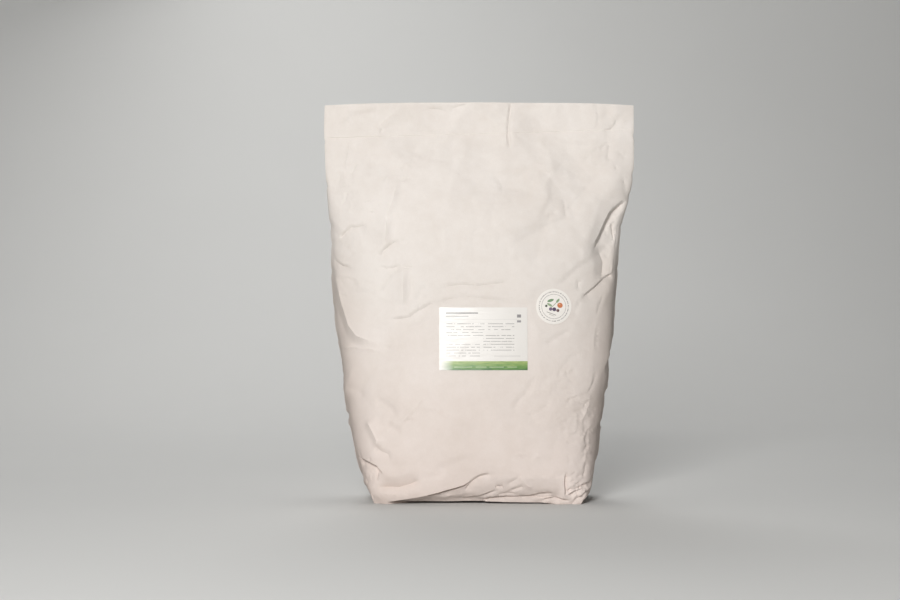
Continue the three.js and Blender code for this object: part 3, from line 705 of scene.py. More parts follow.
def wall_points(paper, z, hem_step, relief):
    """The finished wall's points, and for each its fold mark (rubbed ridges, painted shade in hollows and under the
    sack, a painted highlight on the hem's edge) and its painted shade on the narrow sides.
    """
    sections = Sections()
    front = np.abs(paper) <= QUARTER
    base = plain_wall(paper, z, sections)
    around = plain_wall(paper + 1, z, sections) - plain_wall(paper - 1, z, sections)
    upward = plain_wall(paper, z + 1, sections) - plain_wall(paper, z - 1, sections)
    outward = np.cross(around, upward)
    outward /= np.linalg.norm(outward, axis=-1, keepdims=True)

    # The hem's plies stand out in front, most at the left and not at the side folds, and the top is pinched shut.
    from_fold = np.abs(np.abs(paper) - QUARTER)
    above_hem = z - hem_line(in_front(paper))
    hem_share = mix(*HEM_SHARE, smooth_step(-QUARTER, -QUARTER / 2, paper))
    rounding = hem_share * np.clip(from_fold / HEM_ROUNDING, 0, 1)
    plies = hem_step * rounding * np.clip(above_hem / HEM_EDGE + 0.5, 0, 1)
    depth = outline(DEPTH, z)
    wider = np.where(front, (depth + plies) / depth, 1)
    wider *= 1 - TOP_PINCH * np.clip(1 - (top_line(in_front(paper)) - z) / TOP_ROUNDING, 0, 1) ** 2
    base[:, 1] += (wider - 1) * (base[:, 1] - outline(LEAN, z))

    # Where the two walls lie together, a crease in one goes through the other.
    together = smooth_step(FILL_LEVEL, FLAT_LEVEL, z)
    own, fold = relief.at(paper, z)
    own *= 1 - HELD_SHARE * np.where(front, held_flat(base[:, 0], z), 0)
    tuck, under = base_tuck(paper, z)
    push = together * relief.at(facing(paper), z)[0] - own - tuck
    # Paper tucked in under the sack gets painted shade.
    fold += UNDER_SHADE * under
    # A thin painted highlight along the hem's top edge.
    fold -= np.where(front, np.clip(1 - np.abs(above_hem - HEM_EDGE / 2) / HEM_GLINT, 0, 1), 0)

    # Low down a wall is pushed straight out. Towards the flat top it is pushed only fore and aft, and not at all
    # at its side folds, so that both walls keep together there.
    flat = smooth_step(ROUND_LEVEL, FILL_LEVEL, z)
    push *= mix(1, smooth_step(0, FOLD_HOLD, from_fold), flat)
    fore_and_aft = np.zeros_like(outward)
    fore_and_aft[:, 1] = np.where(front, -1, 1)
    direction = mix(outward, fore_and_aft, flat[:, None])
    ridge = SIDE_FOLD_RIDGE * np.clip(1 - from_fold / SIDE_FOLD_WIDTH, 0, 1) ** 2 * (1 - together)
    from_seam = np.abs(paper - BACK_SEAM) - BACK_SEAM_WIDTH / 2
    ridge += BACK_SEAM_STEP * smooth_step(SEAM_EDGE, -SEAM_EDGE, from_seam)
    for ear in EARS:
        near = np.clip(1 - round_distance(paper, ear.at) / ear.reach, 0, 1)
        ridge += ear.out * near * np.clip(1 - z / ear.height, 0, 1)
    points = base + direction * push[:, None] + outward * ridge[:, None]
    for notch in NOTCHES:
        near = np.clip(1 - np.abs(z - notch.height) / notch.reach, 0, 1)
        near *= np.clip(1 - np.abs(paper - notch.side * QUARTER) / NOTCH_WIDTH, 0, 1)
        points[:, 0] -= notch.side * notch.depth * near
    points[:, 2] += BASE_ARCH * under * np.clip(1 - z / BASE_ARCH_HEIGHT, 0, 1)
    points[:, 2] = np.maximum(points[:, 2], 0)
    # Painted shade on the narrow sides, near the side folds and low down.
    side_shade = smooth_step(*SIDE_SHADE_FROM_FOLD[::-1], from_fold) * smooth_step(*SIDE_SHADE_HEIGHTS[::-1], z)
    return points, {"fold": fold, "side_shade": side_shade}


# ---- Materials ----
WHITE = (1, 1, 1, 1)
THIN_PAPER = 0.935, 0.92, 0.905  # the colour of the paper's thin clouds, as shares of its own
SHADED = 0.97  # the same for the clouds of the label and of the floor
# Painted shade on the narrow sides.
SIDE_SHADE_TINT = (0.83, 0.8, 0.78, 1)
# Painted shade towards the base, a little darker and warmer, up to the height below.
BASE_SHADE_TINT = (1, 0.935, 0.92, 1)
BASE_SHADE_HEIGHT = 0.36  # in metres
BAND_HEIGHT = 15  # of the label's green band
BAND_FADE = 2, 24  # how far from the label's left edge the band begins and is full
THIN_RING = 20.6, 0.28  # the sticker's thin ring: its radius and half its width
MARKS_RING = 24.8, 0.75


def linear(hex_colour):
    """The linear colour of an sRGB hex value."""
    parts = [int(hex_colour[i : i + 2], 16) / 255 for i in (1, 3, 5)]
    return tuple(c / 12.92 if c <= 0.04045 else ((c + 0.055) / 1.055) ** 2.4 for c in parts)


def per_metre(millimetres):
    """The scale of a pattern whose features are that far apart."""
    return 1000 / millimetres


def add_node(material, kind, inputs, output=0, **settings):
    """Adds a node with its settings, gives each input a value or a link, and returns one of its outputs."""
    node = material.node_tree.nodes.new("ShaderNode" + kind)
    for name, value in settings.items():
        setattr(node, name, value)
    for key, value in inputs.items():
        if isinstance(value, bpy.types.NodeSocket):
            material.node_tree.links.new(value, node.inputs[key])
        else:
            node.inputs[key].default_value = value
    return node.outputs[output]


def new_material(name):
    """An empty material, its shader, and what adds nodes to it."""
    material = bpy.data.materials.new(name)
    material.use_nodes = True
    return material, material.node_tree.nodes["Principled BSDF"], partial(add_node, material)


def kraft_paper(finish):
    """Bleached kraft, machine-made: matt and off-white, with the cloudy look of its fibres and worn folds, and with
    painted shade and a painted highlight.
    """
    material, shader, add = new_material("bleached_kraft_paper")
    place = add("TexCoord", {}, "Object")
    # Clouds of thicker and thinner paper, a hand's breadth and a finger's breadth apart.
    broad = add("TexNoise", {"Vector": place, "Scale": per_metre(120), "Detail": 3, "Roughness": 0.55})
    cloud = add("TexNoise", {"Vector": place, "Scale": per_metre(14), "Detail": 4, "Roughness": 0.6})
    both = add("Mix", {"Factor": 0.35, "A": broad, "B": cloud})
    paper = add("ValToRGB", {"Fac": both})
    thin = [c * k for c, k in zip(finish.paper_colour, THIN_PAPER)]
    for stop, position, colour in zip(paper.node.color_ramp.elements, (0.36, 0.62), (thin, finish.paper_colour)):
        stop.position, stop.color = position, (*colour, 1)
    # Single fibres, drawn a few millimetres long so that they show.
    stretch = add("Mapping", {"Vector": place, "Scale": (1, 1, 0.35)})
    fibre = add("TexNoise", {"Vector": stretch, "Scale": per_metre(1.6), "Detail": 2, "Roughness": 0.6})
    fleck = add("MapRange", {"Value": fibre, "From Min": 0.3, "From Max": 0.7, "To Min": 0.988, "To Max": 1.008})
    # Ridges are rubbed paler; the hollows of the folds and what is tucked in under the sack are darkened with
    # painted shade, and the hem's top edge gets a thin painted highlight.
    fold = add("Attribute", {}, "Fac", attribute_name="fold")
    rubbed_and_shaded = add("MapRange", {"Value": fold, "From Min": -0.8, "From Max": 0.8, "To Min": 1.02, "To Max": 0.965})
    under = add("MapRange", {"Value": fold, "From Min": 1.2, "From Max": UNDER_SHADE, "To Min": 1, "To Max": 0.95})
    # Its narrow sides are darkened in soft patches: painted shade.
    side_shade = add("Attribute", {}, "Fac", attribute_name="side_shade")
    patches = add("MapRange", {"Value": cloud, "From Min": 0.25, "From Max": 0.6, "To Min": 0.75, "To Max": 1})
    patchy = add("Math", {0: side_shade, 1: patches}, operation="MULTIPLY")
    side_shaded = add("Mix", {"Factor": patchy, 6: WHITE, 7: SIDE_SHADE_TINT}, 2, data_type="RGBA")
    # Towards the base the paper is a little darker and warmer: painted shade.
    height = add("SeparateXYZ", {0: place}, "Z")
    low = add("MapRange", {"Value": height, "From Min": 0, "From Max": BASE_SHADE_HEIGHT, "To Min": 1, "To Max": 0})
    base_shaded = add("Mix", {"Factor": low, 6: WHITE, 7: BASE_SHADE_TINT}, 2, data_type="RGBA")
    for tint in (fleck, rubbed_and_shaded, under, side_shaded, base_shaded):
        paper = add("VectorMath", {0: paper, 1: tint}, operation="MULTIPLY")
    material.node_tree.links.new(paper, shader.inputs["Base Color"])
    # Fine wrinkles and the fibres' own relief.
    wrinkle = add("TexNoise", {"Vector": place, "Scale": per_metre(9), "Detail": 5, "Roughness": 0.62})
    ripple = add("Bump", {"Strength": 0.25, "Distance": 0.4 * MM, "Height": wrinkle})
    grain = add("Bump", {"Strength": 0.2, "Distance": 0.05 * MM, "Height": fibre, "Normal": ripple})
    material.node_tree.links.new(grain, shader.inputs["Normal"])
    shader.inputs["Roughness"].default_value = finish.paper_roughness
    shader.inputs["Specular IOR Level"].default_value = 0.35
    return material


# ---- Print: each shape is its kind, middle (x, y), half its width and height, turn in degrees and colour ----
Shape = namedtuple("Shape", "kind x y wide high turn colour")
INK_GREY = "#a09d9a"
INK_DARK = "#6f6c6c"
INK_PALE = "#b4c79c"

LABEL_PRINT = [
    # A heading, its rule, blocks of lines, and two small squares, as bars.
    Shape("bar", -36, 43, 27, 0.9, 0, INK_DARK),
    Shape("bar", -44, 37.6, 19, 0.6, 0, INK_GREY),
    Shape("bar", -2, 32.5, 62, 0.25, 0, "#cfccc8"),
    Shape("lines", -30, 16, 32, 12, 0, INK_GREY),
    Shape("lines", 30, 21, 22, 7, 0, INK_GREY),
    Shape("lines", 26, -6, 26, 14, 0, INK_GREY),
    Shape("lines", -34, -20, 28, 11, 0, INK_GREY),
    Shape("bar", 60, 38, 3.4, 2.6, 0, "#8f8c8c"),
    Shape("bar", 60, 29, 3.4, 1.8, 0, "#9a9797"),
    Shape("bar", 40, -29, 22, 0.4, 0, "#bdbab6"),
    # A pale broken rule in the band.
    *[Shape("bar", x, -47.4, wide, 0.55, 0, INK_PALE) for x, wide in ((-34, 15), (-4, 9), (22, 12), (48, 8))],
]

STICKER_PRINT = [
    # Fruit and leaves on a stalk, with a short rule under them.
    Shape("round", -1, 1.5, 0.45, 9.5, -24, "#6f7a5c"),
    Shape("round", -8.6, 7.6, 5.6, 2.3, 38, "#7f9a78"),
    Shape("round", -7.6, 0.2, 5.0, 2.0, -12, "#9db08f"),
    Shape("round", 3.2, 11.4, 4.2, 1.8, 72, "#86a07e"),
    Shape("round", 9.2, 5.4, 4.6, 4.4, 0, "#cf8058"),
    Shape("round", 8.0, 6.6, 1.4, 1.2, 0, "#e3b093"),
    Shape("round", 2.4, -4.2, 3.3, 3.3, 0, "#5f5068"),
    Shape("round", -3.6, -5.8, 2.9, 2.9, 0, "#7a6a80"),
    Shape("round", 8.8, -4.0, 2.5, 2.5, 0, "#5a3b3c"),
    Shape("round", 8.3, -3.3, 0.8, 0.8, 0, "#b9a4a4"),
    Shape("round", -12.4, -3.4, 2.0, 2.0, 0, "#4b5245"),
    Shape("bar", 0, -12.6, 8.5, 0.45, 0, "#8f8a82"),
    Shape("bar", 1.5, -15.0, 5.0, 0.35, 0, "#aaa59c"),
]


def shape_mask(add, place, shape):
    """1 inside a printed shape and 0 outside it."""
    box = {
        "Location": (shape.x, shape.y, 0),
        "Rotation": (0, 0, math.radians(shape.turn)),
        "Scale": (shape.wide, shape.high, 1),
    }
    local = add("Mapping", {"Vector": place, **box}, vector_type="TEXTURE")
    if shape.kind == "round":
        size = add("VectorMath", {0: local}, "Value", operation="LENGTH")
    else:
        x, y, _ = add("SeparateXYZ", {0: add("VectorMath", {0: local}, operation="ABSOLUTE")}).node.outputs
        size = add("Math", {0: x, 1: y}, operation="MAXIMUM")
    return add("Math", {0: size, 1: 1}, operation="LESS_THAN")


def line_pattern(add, place, pitch=4.9, height=0.2):
    """Rows of dashes of uneven length, as small print looks from a step away."""
    x, y, _ = add("SeparateXYZ", {0: place}).node.outputs
    row = add("Math", {0: y, 1: pitch}, operation="DIVIDE")
    within = add("Math", {0: row}, operation="FRACT")
    on_row = add("Math", {0: within, 1: height}, operation="LESS_THAN")
    number = add("Math", {0: row}, operation="FLOOR")
    spread = add("Math", {0: number, 1: 7.3}, operation="MULTIPLY")
    seat = add("CombineXYZ", {"X": x, "Y": spread})
    length = {"Scale": 0.12, "Detail": 2, "Roughness": 0.7}
    dashes = add("TexNoise", {"Vector": seat, **length}, noise_dimensions="2D")
    dash = add("Math", {0: dashes, 1: 0.42}, operation="GREATER_THAN")
    return add("Math", {0: on_row, 1: dash}, operation="MULTIPLY")


def print_shapes(add, place, ground, shapes):
    """Prints the shapes over a ground colour, one after the other."""
    lines = line_pattern(add, place)
    colour = ground
    for shape in shapes:
        mask = shape_mask(add, place, shape)
        if shape.kind == "lines":
            mask = add("Math", {0: mask, 1: lines}, operation="MULTIPLY")
        colour = add("Mix", {"Factor": mask, 6: colour, 7: (*linear(shape.colour), 1)}, 2, data_type="RGBA")
    return colour


def print_place(add, width, height):
    """A point of the print in millimetres from its middle, from the piece's own UV map."""
    uv = add("UVMap", {}, uv_map="print")
    return add("Mapping", {"Vector": uv, "Location": (-width / 2, -height / 2, 0), "Scale": (width, height, 1)})


def coated_label_paper(finish, width, height):
    """Coated label paper, offset printed: smooth white with a soft shine, grey lines and a leafy green band."""
    material, shader, add = new_material("coated_label_paper_printed")
    place = print_place(add, width, height)
    sheet = add("TexNoise", {"Vector": place, "Scale": 0.03, "Detail": 2, "Roughness": 0.5})
    shaded = (*[c * SHADED for c in finish.label_colour], 1)
    ground = add("Mix", {"Factor": sheet, 6: shaded, 7: (*finish.label_colour, 1)}, 2, data_type="RGBA")
    # The band along the lower edge: blades of grass from light above to dark below, fading out to the left.
    x, y, _ = add("SeparateXYZ", {0: place}).node.outputs
    foot = -height / 2
    slant = add("Mapping", {"Vector": place, "Rotation": (0, 0, math.radians(64)), "Scale": (0.05, 0.7, 1)})
    blades = add("TexNoise", {"Vector": slant, "Scale": 1, "Detail": 3, "Roughness": 0.6, "Distortion": 0.6})
    depth = add("MapRange", {"Value": y, "From Min": foot, "From Max": foot + BAND_HEIGHT, "To Max": 0.5})
    shade = add("Math", {0: blades, 1: depth}, operation="ADD")
    green = add("ValToRGB", {"Fac": shade})
    stops = green.node.color_ramp.elements
    stops.new(0.7)
    for stop, position, colour in zip(stops, (0.38, 0.7, 1), ("#3d6a44", "#6b934c", "#a3b56f")):
        stop.position, stop.color = position, (*linear(colour), 1)
    in_band = add("Math", {0: y, 1: foot + BAND_HEIGHT}, operation="LESS_THAN")
    start, full = (step - width / 2 for step in BAND_FADE)
    fade = add("MapRange", {"Value": x, "From Min": start, "From Max": full})
    band = add("Math", {0: in_band, 1: fade}, operation="MULTIPLY")
    banded = add("Mix", {"Factor": band, 6: ground, 7: green}, 2, data_type="RGBA")
    colour = print_shapes(add, place, banded, LABEL_PRINT)
    material.node_tree.links.new(colour, shader.inputs["Base Color"])
    # It was stuck on by hand over loose paper, so it is slightly wrinkled across and shines in streaks.
    across = add("Mapping", {"Vector": place, "Scale": (0.022, 0.09, 1)})
    streaks = add("TexNoise", {"Vector": across, "Scale": 1, "Detail": 3, "Roughness": 0.6, "Distortion": 0.5})
    wrinkled = add("Bump", {"Strength": 0.5, "Distance": 0.8 * MM, "Height": streaks})
    material.node_tree.links.new(wrinkled, shader.inputs["Normal"])
    shader.inputs["Roughness"].default_value = finish.label_roughness
    shader.inputs["Specular IOR Level"].default_value = 0.5
    return material


def coated_sticker_paper(finish, radius):
    """Coated sticker paper, digitally printed: white with a ring of fine marks and small fruit and leaves."""
    material, shader, add = new_material("coated_sticker_paper_printed")
    place = print_place(add, 2 * radius, 2 * radius)
    turned = add("Mapping", {"Vector": place, "Rotation": (0, 0, math.radians(finish.sticker_turn))})
    colour = print_shapes(add, turned, (*finish.sticker_colour, 1), STICKER_PRINT)
    # A thin ring, and a ring of fine marks outside it.
    distance = add("VectorMath", {0: turned}, "Value", operation="LENGTH")
    x, y, _ = add("SeparateXYZ", {0: turned}).node.outputs
    angle = add("Math", {0: y, 1: x}, operation="ARCTAN2")
    marks = add("TexNoise", {"W": angle, "Scale": 11, "Detail": 2, "Roughness": 0.7}, noise_dimensions="1D")
    marked = add("Math", {0: marks, 1: 0.47}, operation="GREATER_THAN")
    rings = MARKS_RING, THIN_RING
    outer, thin = (add("Math", {0: distance, 1: at, 2: half}, operation="COMPARE") for at, half in rings)
    outer = add("Math", {0: marked, 1: outer}, operation="MULTIPLY")
    for mask, ink in ((outer, "#a8a3a0"), (thin, "#8d8886")):
        colour = add("Mix", {"Factor": mask, 6: colour, 7: (*linear(ink), 1)}, 2, data_type="RGBA")
    material.node_tree.links.new(colour, shader.inputs["Base Color"])
    shader.inputs["Roughness"].default_value = finish.label_roughness
    return material


def studio_board(colour):
    """Painted board, rolled: matt and pale, nearly even."""
    material, shader, add = new_material("painted_studio_board")
    roll = add("TexNoise", {"Vector": add("TexCoord", {}, "Object"), "Scale": per_metre(400), "Detail": 2})
    shaded = (*[c * SHADED for c in colour], 1)
    shade = add("Mix", {"Factor": roll, 6: shaded, 7: (*colour, 1)}, 2, data_type="RGBA")
    material.node_tree.links.new(shade, shader.inputs["Base Color"])
    shader.inputs["Roughness"].default_value = 0.8
    return material


# ---- Settings ----
class FeedSackSizes(bpy.types.PropertyGroup):
    """Sizes of the sack that a user would change."""

    crumple: FloatProperty(name="Crumple", description="How strongly the paper is crumpled all over", default=1)
    hem_step: FloatProperty(
        name="Hem step",
        description="How far the folded-over plies stand in front of the wall",
        default=0.7 * MM,
        unit="LENGTH",
    )
    fineness: FloatProperty(name="Fineness", description="How close the paper's points are", default=1)
    seed: IntProperty(name="Seed", description="Which draw of small creases is used", default=7)


class FeedSackPaperGoods(bpy.types.PropertyGroup):
    """Sizes of the label and the sticker."""

    gap: FloatProperty(
        name="Gap",
        description="Glue and air between the wall and what is stuck on it",
        default=0.3 * MM,
        unit="LENGTH",
    )
    thickness: FloatProperty(
        name="Paper thickness",
        description="Thickness of the label and the sticker",
        default=0.3 * MM,
        unit="LENGTH",
    )
    cell: FloatProperty(name="Cell", description="Size of the label's cells", default=2 * MM, unit="LENGTH")


class FeedSackFinish(bpy.types.PropertyGroup):
    """Colours and finishes."""

    paper_colour: FloatVectorProperty(
        name="Kraft paper",
        description="Colour of the bleached kraft paper",
        subtype="COLOR",
        default=linear("#e6dfd9"),
    )
    paper_roughness: FloatProperty(name="Kraft roughness", description="Matt paper", default=0.78, subtype="FACTOR")
    label_colour: FloatVectorProperty(
        name="Label paper",
        description="Colour of the coated label paper",
        subtype="COLOR",
        default=linear("#e7e3de"),
    )
    sticker_colour: FloatVectorProperty(
        name="Sticker paper",
        description="Colour of the coated sticker paper",
        subtype="COLOR",
        default=linear("#f3eee8"),
    )
    label_roughness: FloatProperty(
        name="Coated roughness", description="Semi-gloss paper", default=0.32, subtype="FACTOR"
    )
    sticker_turn: FloatProperty(
        name="Sticker turn", description="How far the sticker is turned, in degrees", default=20
    )


class FeedSackStudio(bpy.types.PropertyGroup):
    """The floor, the light and the camera."""

    board_colour: FloatVectorProperty(
        name="Board",
        description="Colour of the floor and backdrop",
        subtype="COLOR",
        default=linear("#cfcfcd"),
    )
    key_power: FloatProperty(name="Key light", description="From the upper left front", default=131, unit="POWER")
    fill_power: FloatProperty(name="Fill light", description="From the front", default=5, unit="POWER")
    back_power: FloatProperty(name="Back light", description="On the sack's back", default=30, unit="POWER")
    wall_power: FloatProperty(name="Wall light", description="On the backdrop", default=46, unit="POWER")
    sky: FloatProperty(name="Sky", description="Strength of the even light all round", default=0.035)
    camera_distance: FloatProperty(
        name="Camera distance", description="From the sack's middle plane", default=3, unit="LENGTH"
    )
    lens: FloatProperty(name="Lens", description="Focal length in millimetres", default=69.5)


# ---- Modelling helpers ----
def deselect_all():
    bpy.ops.object.select_all(action="DESELECT")


def edit_selected(obj, mode, chosen):
    """Goes into edit mode on obj with just the chosen vertices, edges or faces selected."""
    bpy.ops.object.mode_set(mode="EDIT")
    bpy.ops.mesh.select_all(action="DESELECT")
    bpy.ops.mesh.select_mode(type=mode)
    bpy.ops.object.mode_set(mode="OBJECT")
    parts = {"VERT": obj.data.vertices, "EDGE": obj.data.edges, "FACE": obj.data.polygons}[mode]
    parts.foreach_set("select", chosen)
    bpy.ops.object.mode_set(mode="EDIT")


def coordinates(obj):
    """The mesh's vertices as an array."""
    points = np.empty(len(obj.data.vertices) * 3)
    obj.data.vertices.foreach_get("co", points)
    return points.reshape(-1, 3)


def move_vertices(obj, points):
    obj.data.vertices.foreach_set("co", np.asarray(points, np.float32).ravel())
    obj.data.update()


def finish_piece(obj, node, material):
    """Gives the piece its material, and its place in the frame."""
    obj.data.materials.clear()
    obj.data.materials.append(material)
    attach(obj, "root")
    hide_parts(node)


def resample(path, step):
    """Points along a path, about a step apart, with its corners among them."""
    path = np.array(path, float)
    parts = [path[:1]]
    for a, b in zip(path[:-1], path[1:]):
        count = max(round(math.hypot(*(b - a)) / step), 1)
        parts.append(a + (b - a) * (np.arange(1, count + 1) / count)[:, None])
    return np.concatenate(parts)


def beside(line, distance):
    """The line that runs beside another one, on its left where the distance is positive."""
    ahead = np.gradient(line, axis=0)
    left = np.stack([-ahead[:, 1], ahead[:, 0]], axis=1)
    return line + distance * left / np.linalg.norm(left, axis=1, keepdims=True)


def widened(mask, reach):
    """A mask grown by a few cells all round."""
    wide = mask.copy()
    cells = range(-math.ceil(reach), math.ceil(reach) + 1)
    for down in cells:
        for over in cells:
            if 0 < math.hypot(down, over) <= reach:
                wide |= np.roll(mask, (down, over), (0, 1))
    return wide


class Sheet:
    """The paper tube slit down the middle of its back and laid flat, to be cut into triangles along its folds.

    A place on it is its distance round the tube, and its share of the height as if the top were level.
    """

    MERGE = 0.2  # points closer than this become one
    MARGIN = 1  # lines and loose points keep this far from the sheet's ends and its two long edges
    LOOSE_CELL = 1.6  # loose points are about this far from each other at least

    def __init__(self):
        self.points = []
        self.edges = []
        self.count = 0
        self.taken = np.zeros((int(HEIGHT) + 1, int(GIRTH) + 1), bool)

    def level(self, places):
        """Places given by their real height."""
        places = np.array(places, float)
        places[:, 1] *= HEIGHT / top_line(in_front(places[:, 0]))
        return places

    def keep(self, points):
        self.points.append(points)
        self.count += len(points)
        self.taken[points[:, 1].astype(int), (points[:, 0] + TUBE_WIDTH).astype(int)] = True

    def on_sheet(self, points):
        top = HEIGHT - TOP_ROUNDING - self.MARGIN
        clear_of_ends = (points[:, 1] > self.MARGIN) & (points[:, 1] < top)
        return clear_of_ends & (np.abs(points[:, 0]) < TUBE_WIDTH - self.MARGIN)

    def add_line(self, line, whole=False):
        """A chain of points that the triangles' edges follow, as far as it lies on the sheet."""
        if whole:
            kept = np.ones(len(line), bool)
        else:
            line[:, 0] -= GIRTH * np.rint(line[:, 0] / GIRTH)
            kept = self.on_sheet(line)
        number = self.count + np.cumsum(kept) - 1
        joined = kept[:-1] & kept[1:] & (np.abs(np.diff(line[:, 0])) < QUARTER)
        self.edges += [(int(number[i]), int(number[i + 1])) for i in np.flatnonzero(joined)]
        self.keep(line[kept])

    def add_loose(self, points, clear):
        """Those of the points that are clear of all that is there already, one to a cell."""
        points[:, 0] -= GIRTH * np.rint(points[:, 0] / GIRTH)
        points = points[self.on_sheet(points)]
        blocked = widened(self.taken, clear)
        points = points[~blocked[points[:, 1].astype(int), (points[:, 0] + TUBE_WIDTH).astype(int)]]
        _, first = np.unique(np.floor(points / max(clear, self.LOOSE_CELL)), axis=0, return_index=True)
        self.keep(points[np.sort(first)])

    def cut(self):
        """The sheet's corners and triangles, with its two long edges joined to a tube."""
        points = np.concatenate(self.points).tolist()
        corners, _, faces, _, _, _ = delaunay_2d_cdt(points, self.edges, [], 0, self.MERGE, False)
        corners = np.array(corners)
        ends = [np.flatnonzero(side * corners[:, 0] > TUBE_WIDTH - ON_EDGE) for side in (-1, 1)]
        left, right = (end[np.argsort(corners[end, 1])] for end in ends)
        number = np.arange(len(corners))
        number[right] = left
        used, faces = np.unique(number[np.array(faces)], return_inverse=True)
        return corners[used], faces.reshape(-1, 3)


def flat_sheet(creases, sizes):
    """The sack's whole sheet, with points and lines where its form needs them."""
    sheet = Sheet()
    cell = FRONT_CELL / sizes.fineness
    across = np.linspace(-TUBE_WIDTH, TUBE_WIDTH, 4 * round(QUARTER / cell) + 1)
    for height in (0, HEIGHT - TOP_ROUNDING, HEIGHT - TOP_ROUNDING / 2, HEIGHT):
        sheet.add_line(np.stack([across, np.full_like(across, height)], axis=1), whole=True)
    for lift in (-0.5 * HEM_EDGE, 0.5 * HEM_EDGE, 0.5 * HEM_EDGE + HEM_GLINT):
        hem = np.stack([across, hem_line(in_front(across)) + lift], axis=1)
        sheet.add_line(sheet.level(hem), whole=True)
    for place in (-TUBE_WIDTH, -QUARTER, QUARTER, TUBE_WIDTH):
        sheet.add_line(resample([(place, 0), (place, HEIGHT)], cell), whole=True)
    seam_steps = -SEAM_EDGE, SEAM_EDGE
    seam_sides = [BACK_SEAM + side * BACK_SEAM_WIDTH / 2 + step for side in (-1, 1) for step in seam_steps]
    fold_sides = [side * QUARTER + step * SIDE_FOLD_WIDTH for side in (-1, 1) for step in SIDE_FOLD_LINES]
    for place in seam_sides + fold_sides:
        sheet.add_line(resample([(place, 0), (place, HEIGHT)], BACK_CELL))
    for edge, lifts in ((FLAP_EDGE, FLAP_LIFTS), (STRIP_EDGE, STRIP_LIFTS)):
        for lift in lifts:
            line = resample(edge, CREASE_CELL) + (0, lift)
            sheet.add_line(line.copy())
            sheet.add_line(line + (TUBE_WIDTH, 0))
    for ear in EARS:
        for step in (-1, 0, 1):
            sheet.add_line(resample([(ear.at + step * ear.reach, EAR_FOOT), (ear.at, ear.height)], CREASE_CELL))

    # A crease has points along its line, and along the foot and the hollow of each flank.
    loose = []
    for crease in creases:
        line = sheet.level(resample(crease.path, CREASE_CELL))
        sheet.add_line(line.copy())
        for flank in (crease.left, -crease.right):
            if abs(flank) <= SHARP_FLANK:
                sheet.add_line(beside(line, flank))
            else:
                loose += [beside(line, flank * share) for share in FLANK_SHARES]
    sheet.add_loose(np.concatenate(loose), CREASE_CLEAR)

    # The rest is filled evenly, with each second row half a cell along.
    random = np.random.default_rng(sizes.seed)
    for size, reach in ((cell, FINE_REACH), (BACK_CELL / sizes.fineness, GIRTH)):
        ups = np.arange(0, HEIGHT, ROW_SHARE * size)
        columns, rows = np.meshgrid(np.arange(-TUBE_WIDTH, TUBE_WIDTH, size), ups)
        columns[1::2] += size / 2
        fill = np.stack([columns.ravel(), rows.ravel()], axis=1)
        fill += random.uniform(-FILL_JITTER, FILL_JITTER, fill.shape) * size
        sheet.add_loose(fill[np.abs(fill[:, 0]) < reach], FILL_CLEAR * size)
    return sheet.cut()


class FEEDSACK_OT_sack(bpy.types.Operator):
    """Models the paper sack: its sheet is cut along its folds, wrapped to a tube and closed at its base and top

    No operator folds a sheet along a hundred lines, so the sheet's mesh is made in code.
    """

    bl_idname = "feed_sack.sack"
    bl_label = "Sack"

    def execute(self, context):
        sizes = context.scene.feed_sack_sizes
        relief = Relief(sizes.seed, sizes.crumple)
        corners, faces = flat_sheet(relief.creases, sizes)
        paper = corners[:, 0]
        z = corners[:, 1] * top_line(in_front(paper)) / HEIGHT
        points, marks = wall_points(paper, z, sizes.hem_step / MM, relief)

        # Top faces join the front and the back ply, point to point.
        rim = np.flatnonzero(corners[:, 1] > HEIGHT - ON_EDGE)
        rim = rim[np.argsort(paper[rim])]
        quarter = len(rim) // 4
        front = rim[quarter : 3 * quarter + 1]
        back = np.concatenate([rim[quarter::-1], rim[: 3 * quarter - 1 : -1]])
        lid = [(front[i], front[i + 1], back[i + 1], back[i]) for i in range(1, 2 * quarter - 1)]
        lid += [(front[0], front[1], back[1]), (front[-2], front[-1], back[-2])]

        deselect_all()
        mesh = bpy.data.meshes.new("paper_sack")
        mesh.from_pydata(points * MM, [], faces.tolist() + [list(map(int, face)) for face in lid])
        sack = bpy.data.objects.new("paper_sack", mesh)
        context.collection.objects.link(sack)
        context.view_layer.objects.active = sack
        sack.select_set(True)
        for name, values in marks.items():
            mesh.attributes.new(name, "FLOAT", "POINT").data.foreach_set("value", values.astype(np.float32))

        self.close_base(sack, corners[:, 1] < ON_EDGE)
        bpy.ops.object.shade_smooth_by_angle(angle=SACK_EDGE)
        finish_piece(sack, "sack", kraft_paper(context.scene.feed_sack_finish))
        return {"FINISHED"}

    def close_base(self, sack, chosen):
        """Runs rings of paper in from the bottom edge and closes them in the middle."""
        edit_selected(sack, "VERT", chosen)
        for shrink in BASE_RINGS:
            bpy.ops.mesh.extrude_region_move()
            bpy.ops.transform.resize(value=(shrink, shrink, 1), center_override=(0, 0, 0))
        bpy.ops.mesh.merge(type="CENTER")
        bpy.ops.mesh.select_all(action="SELECT")
        bpy.ops.mesh.normals_make_consistent(inside=False)
        bpy.ops.object.mode_set(mode="OBJECT")


def lay_on_sack(obj, goods):
    """Lays a flat sheet on the sack's front and gives it its thickness."""
    wrap = obj.modifiers.new("Lay on the sack", "SHRINKWRAP")
    wrap.target = bpy.data.objects["paper_sack"]
    wrap.wrap_method = "PROJECT"
    wrap.use_project_y = True
    wrap.use_positive_direction = True
    wrap.use_negative_direction = False
    wrap.wrap_mode = "ABOVE_SURFACE"
    wrap.offset = goods.gap
    thicken = obj.modifiers.new("Thickness", "SOLIDIFY")
    thicken.thickness = goods.thickness
    thicken.offset = 1
    for modifier in list(obj.modifiers):
        bpy.ops.object.modifier_apply(modifier=modifier.name)
    bpy.ops.object.shade_smooth_by_angle(angle=LABEL_EDGE)


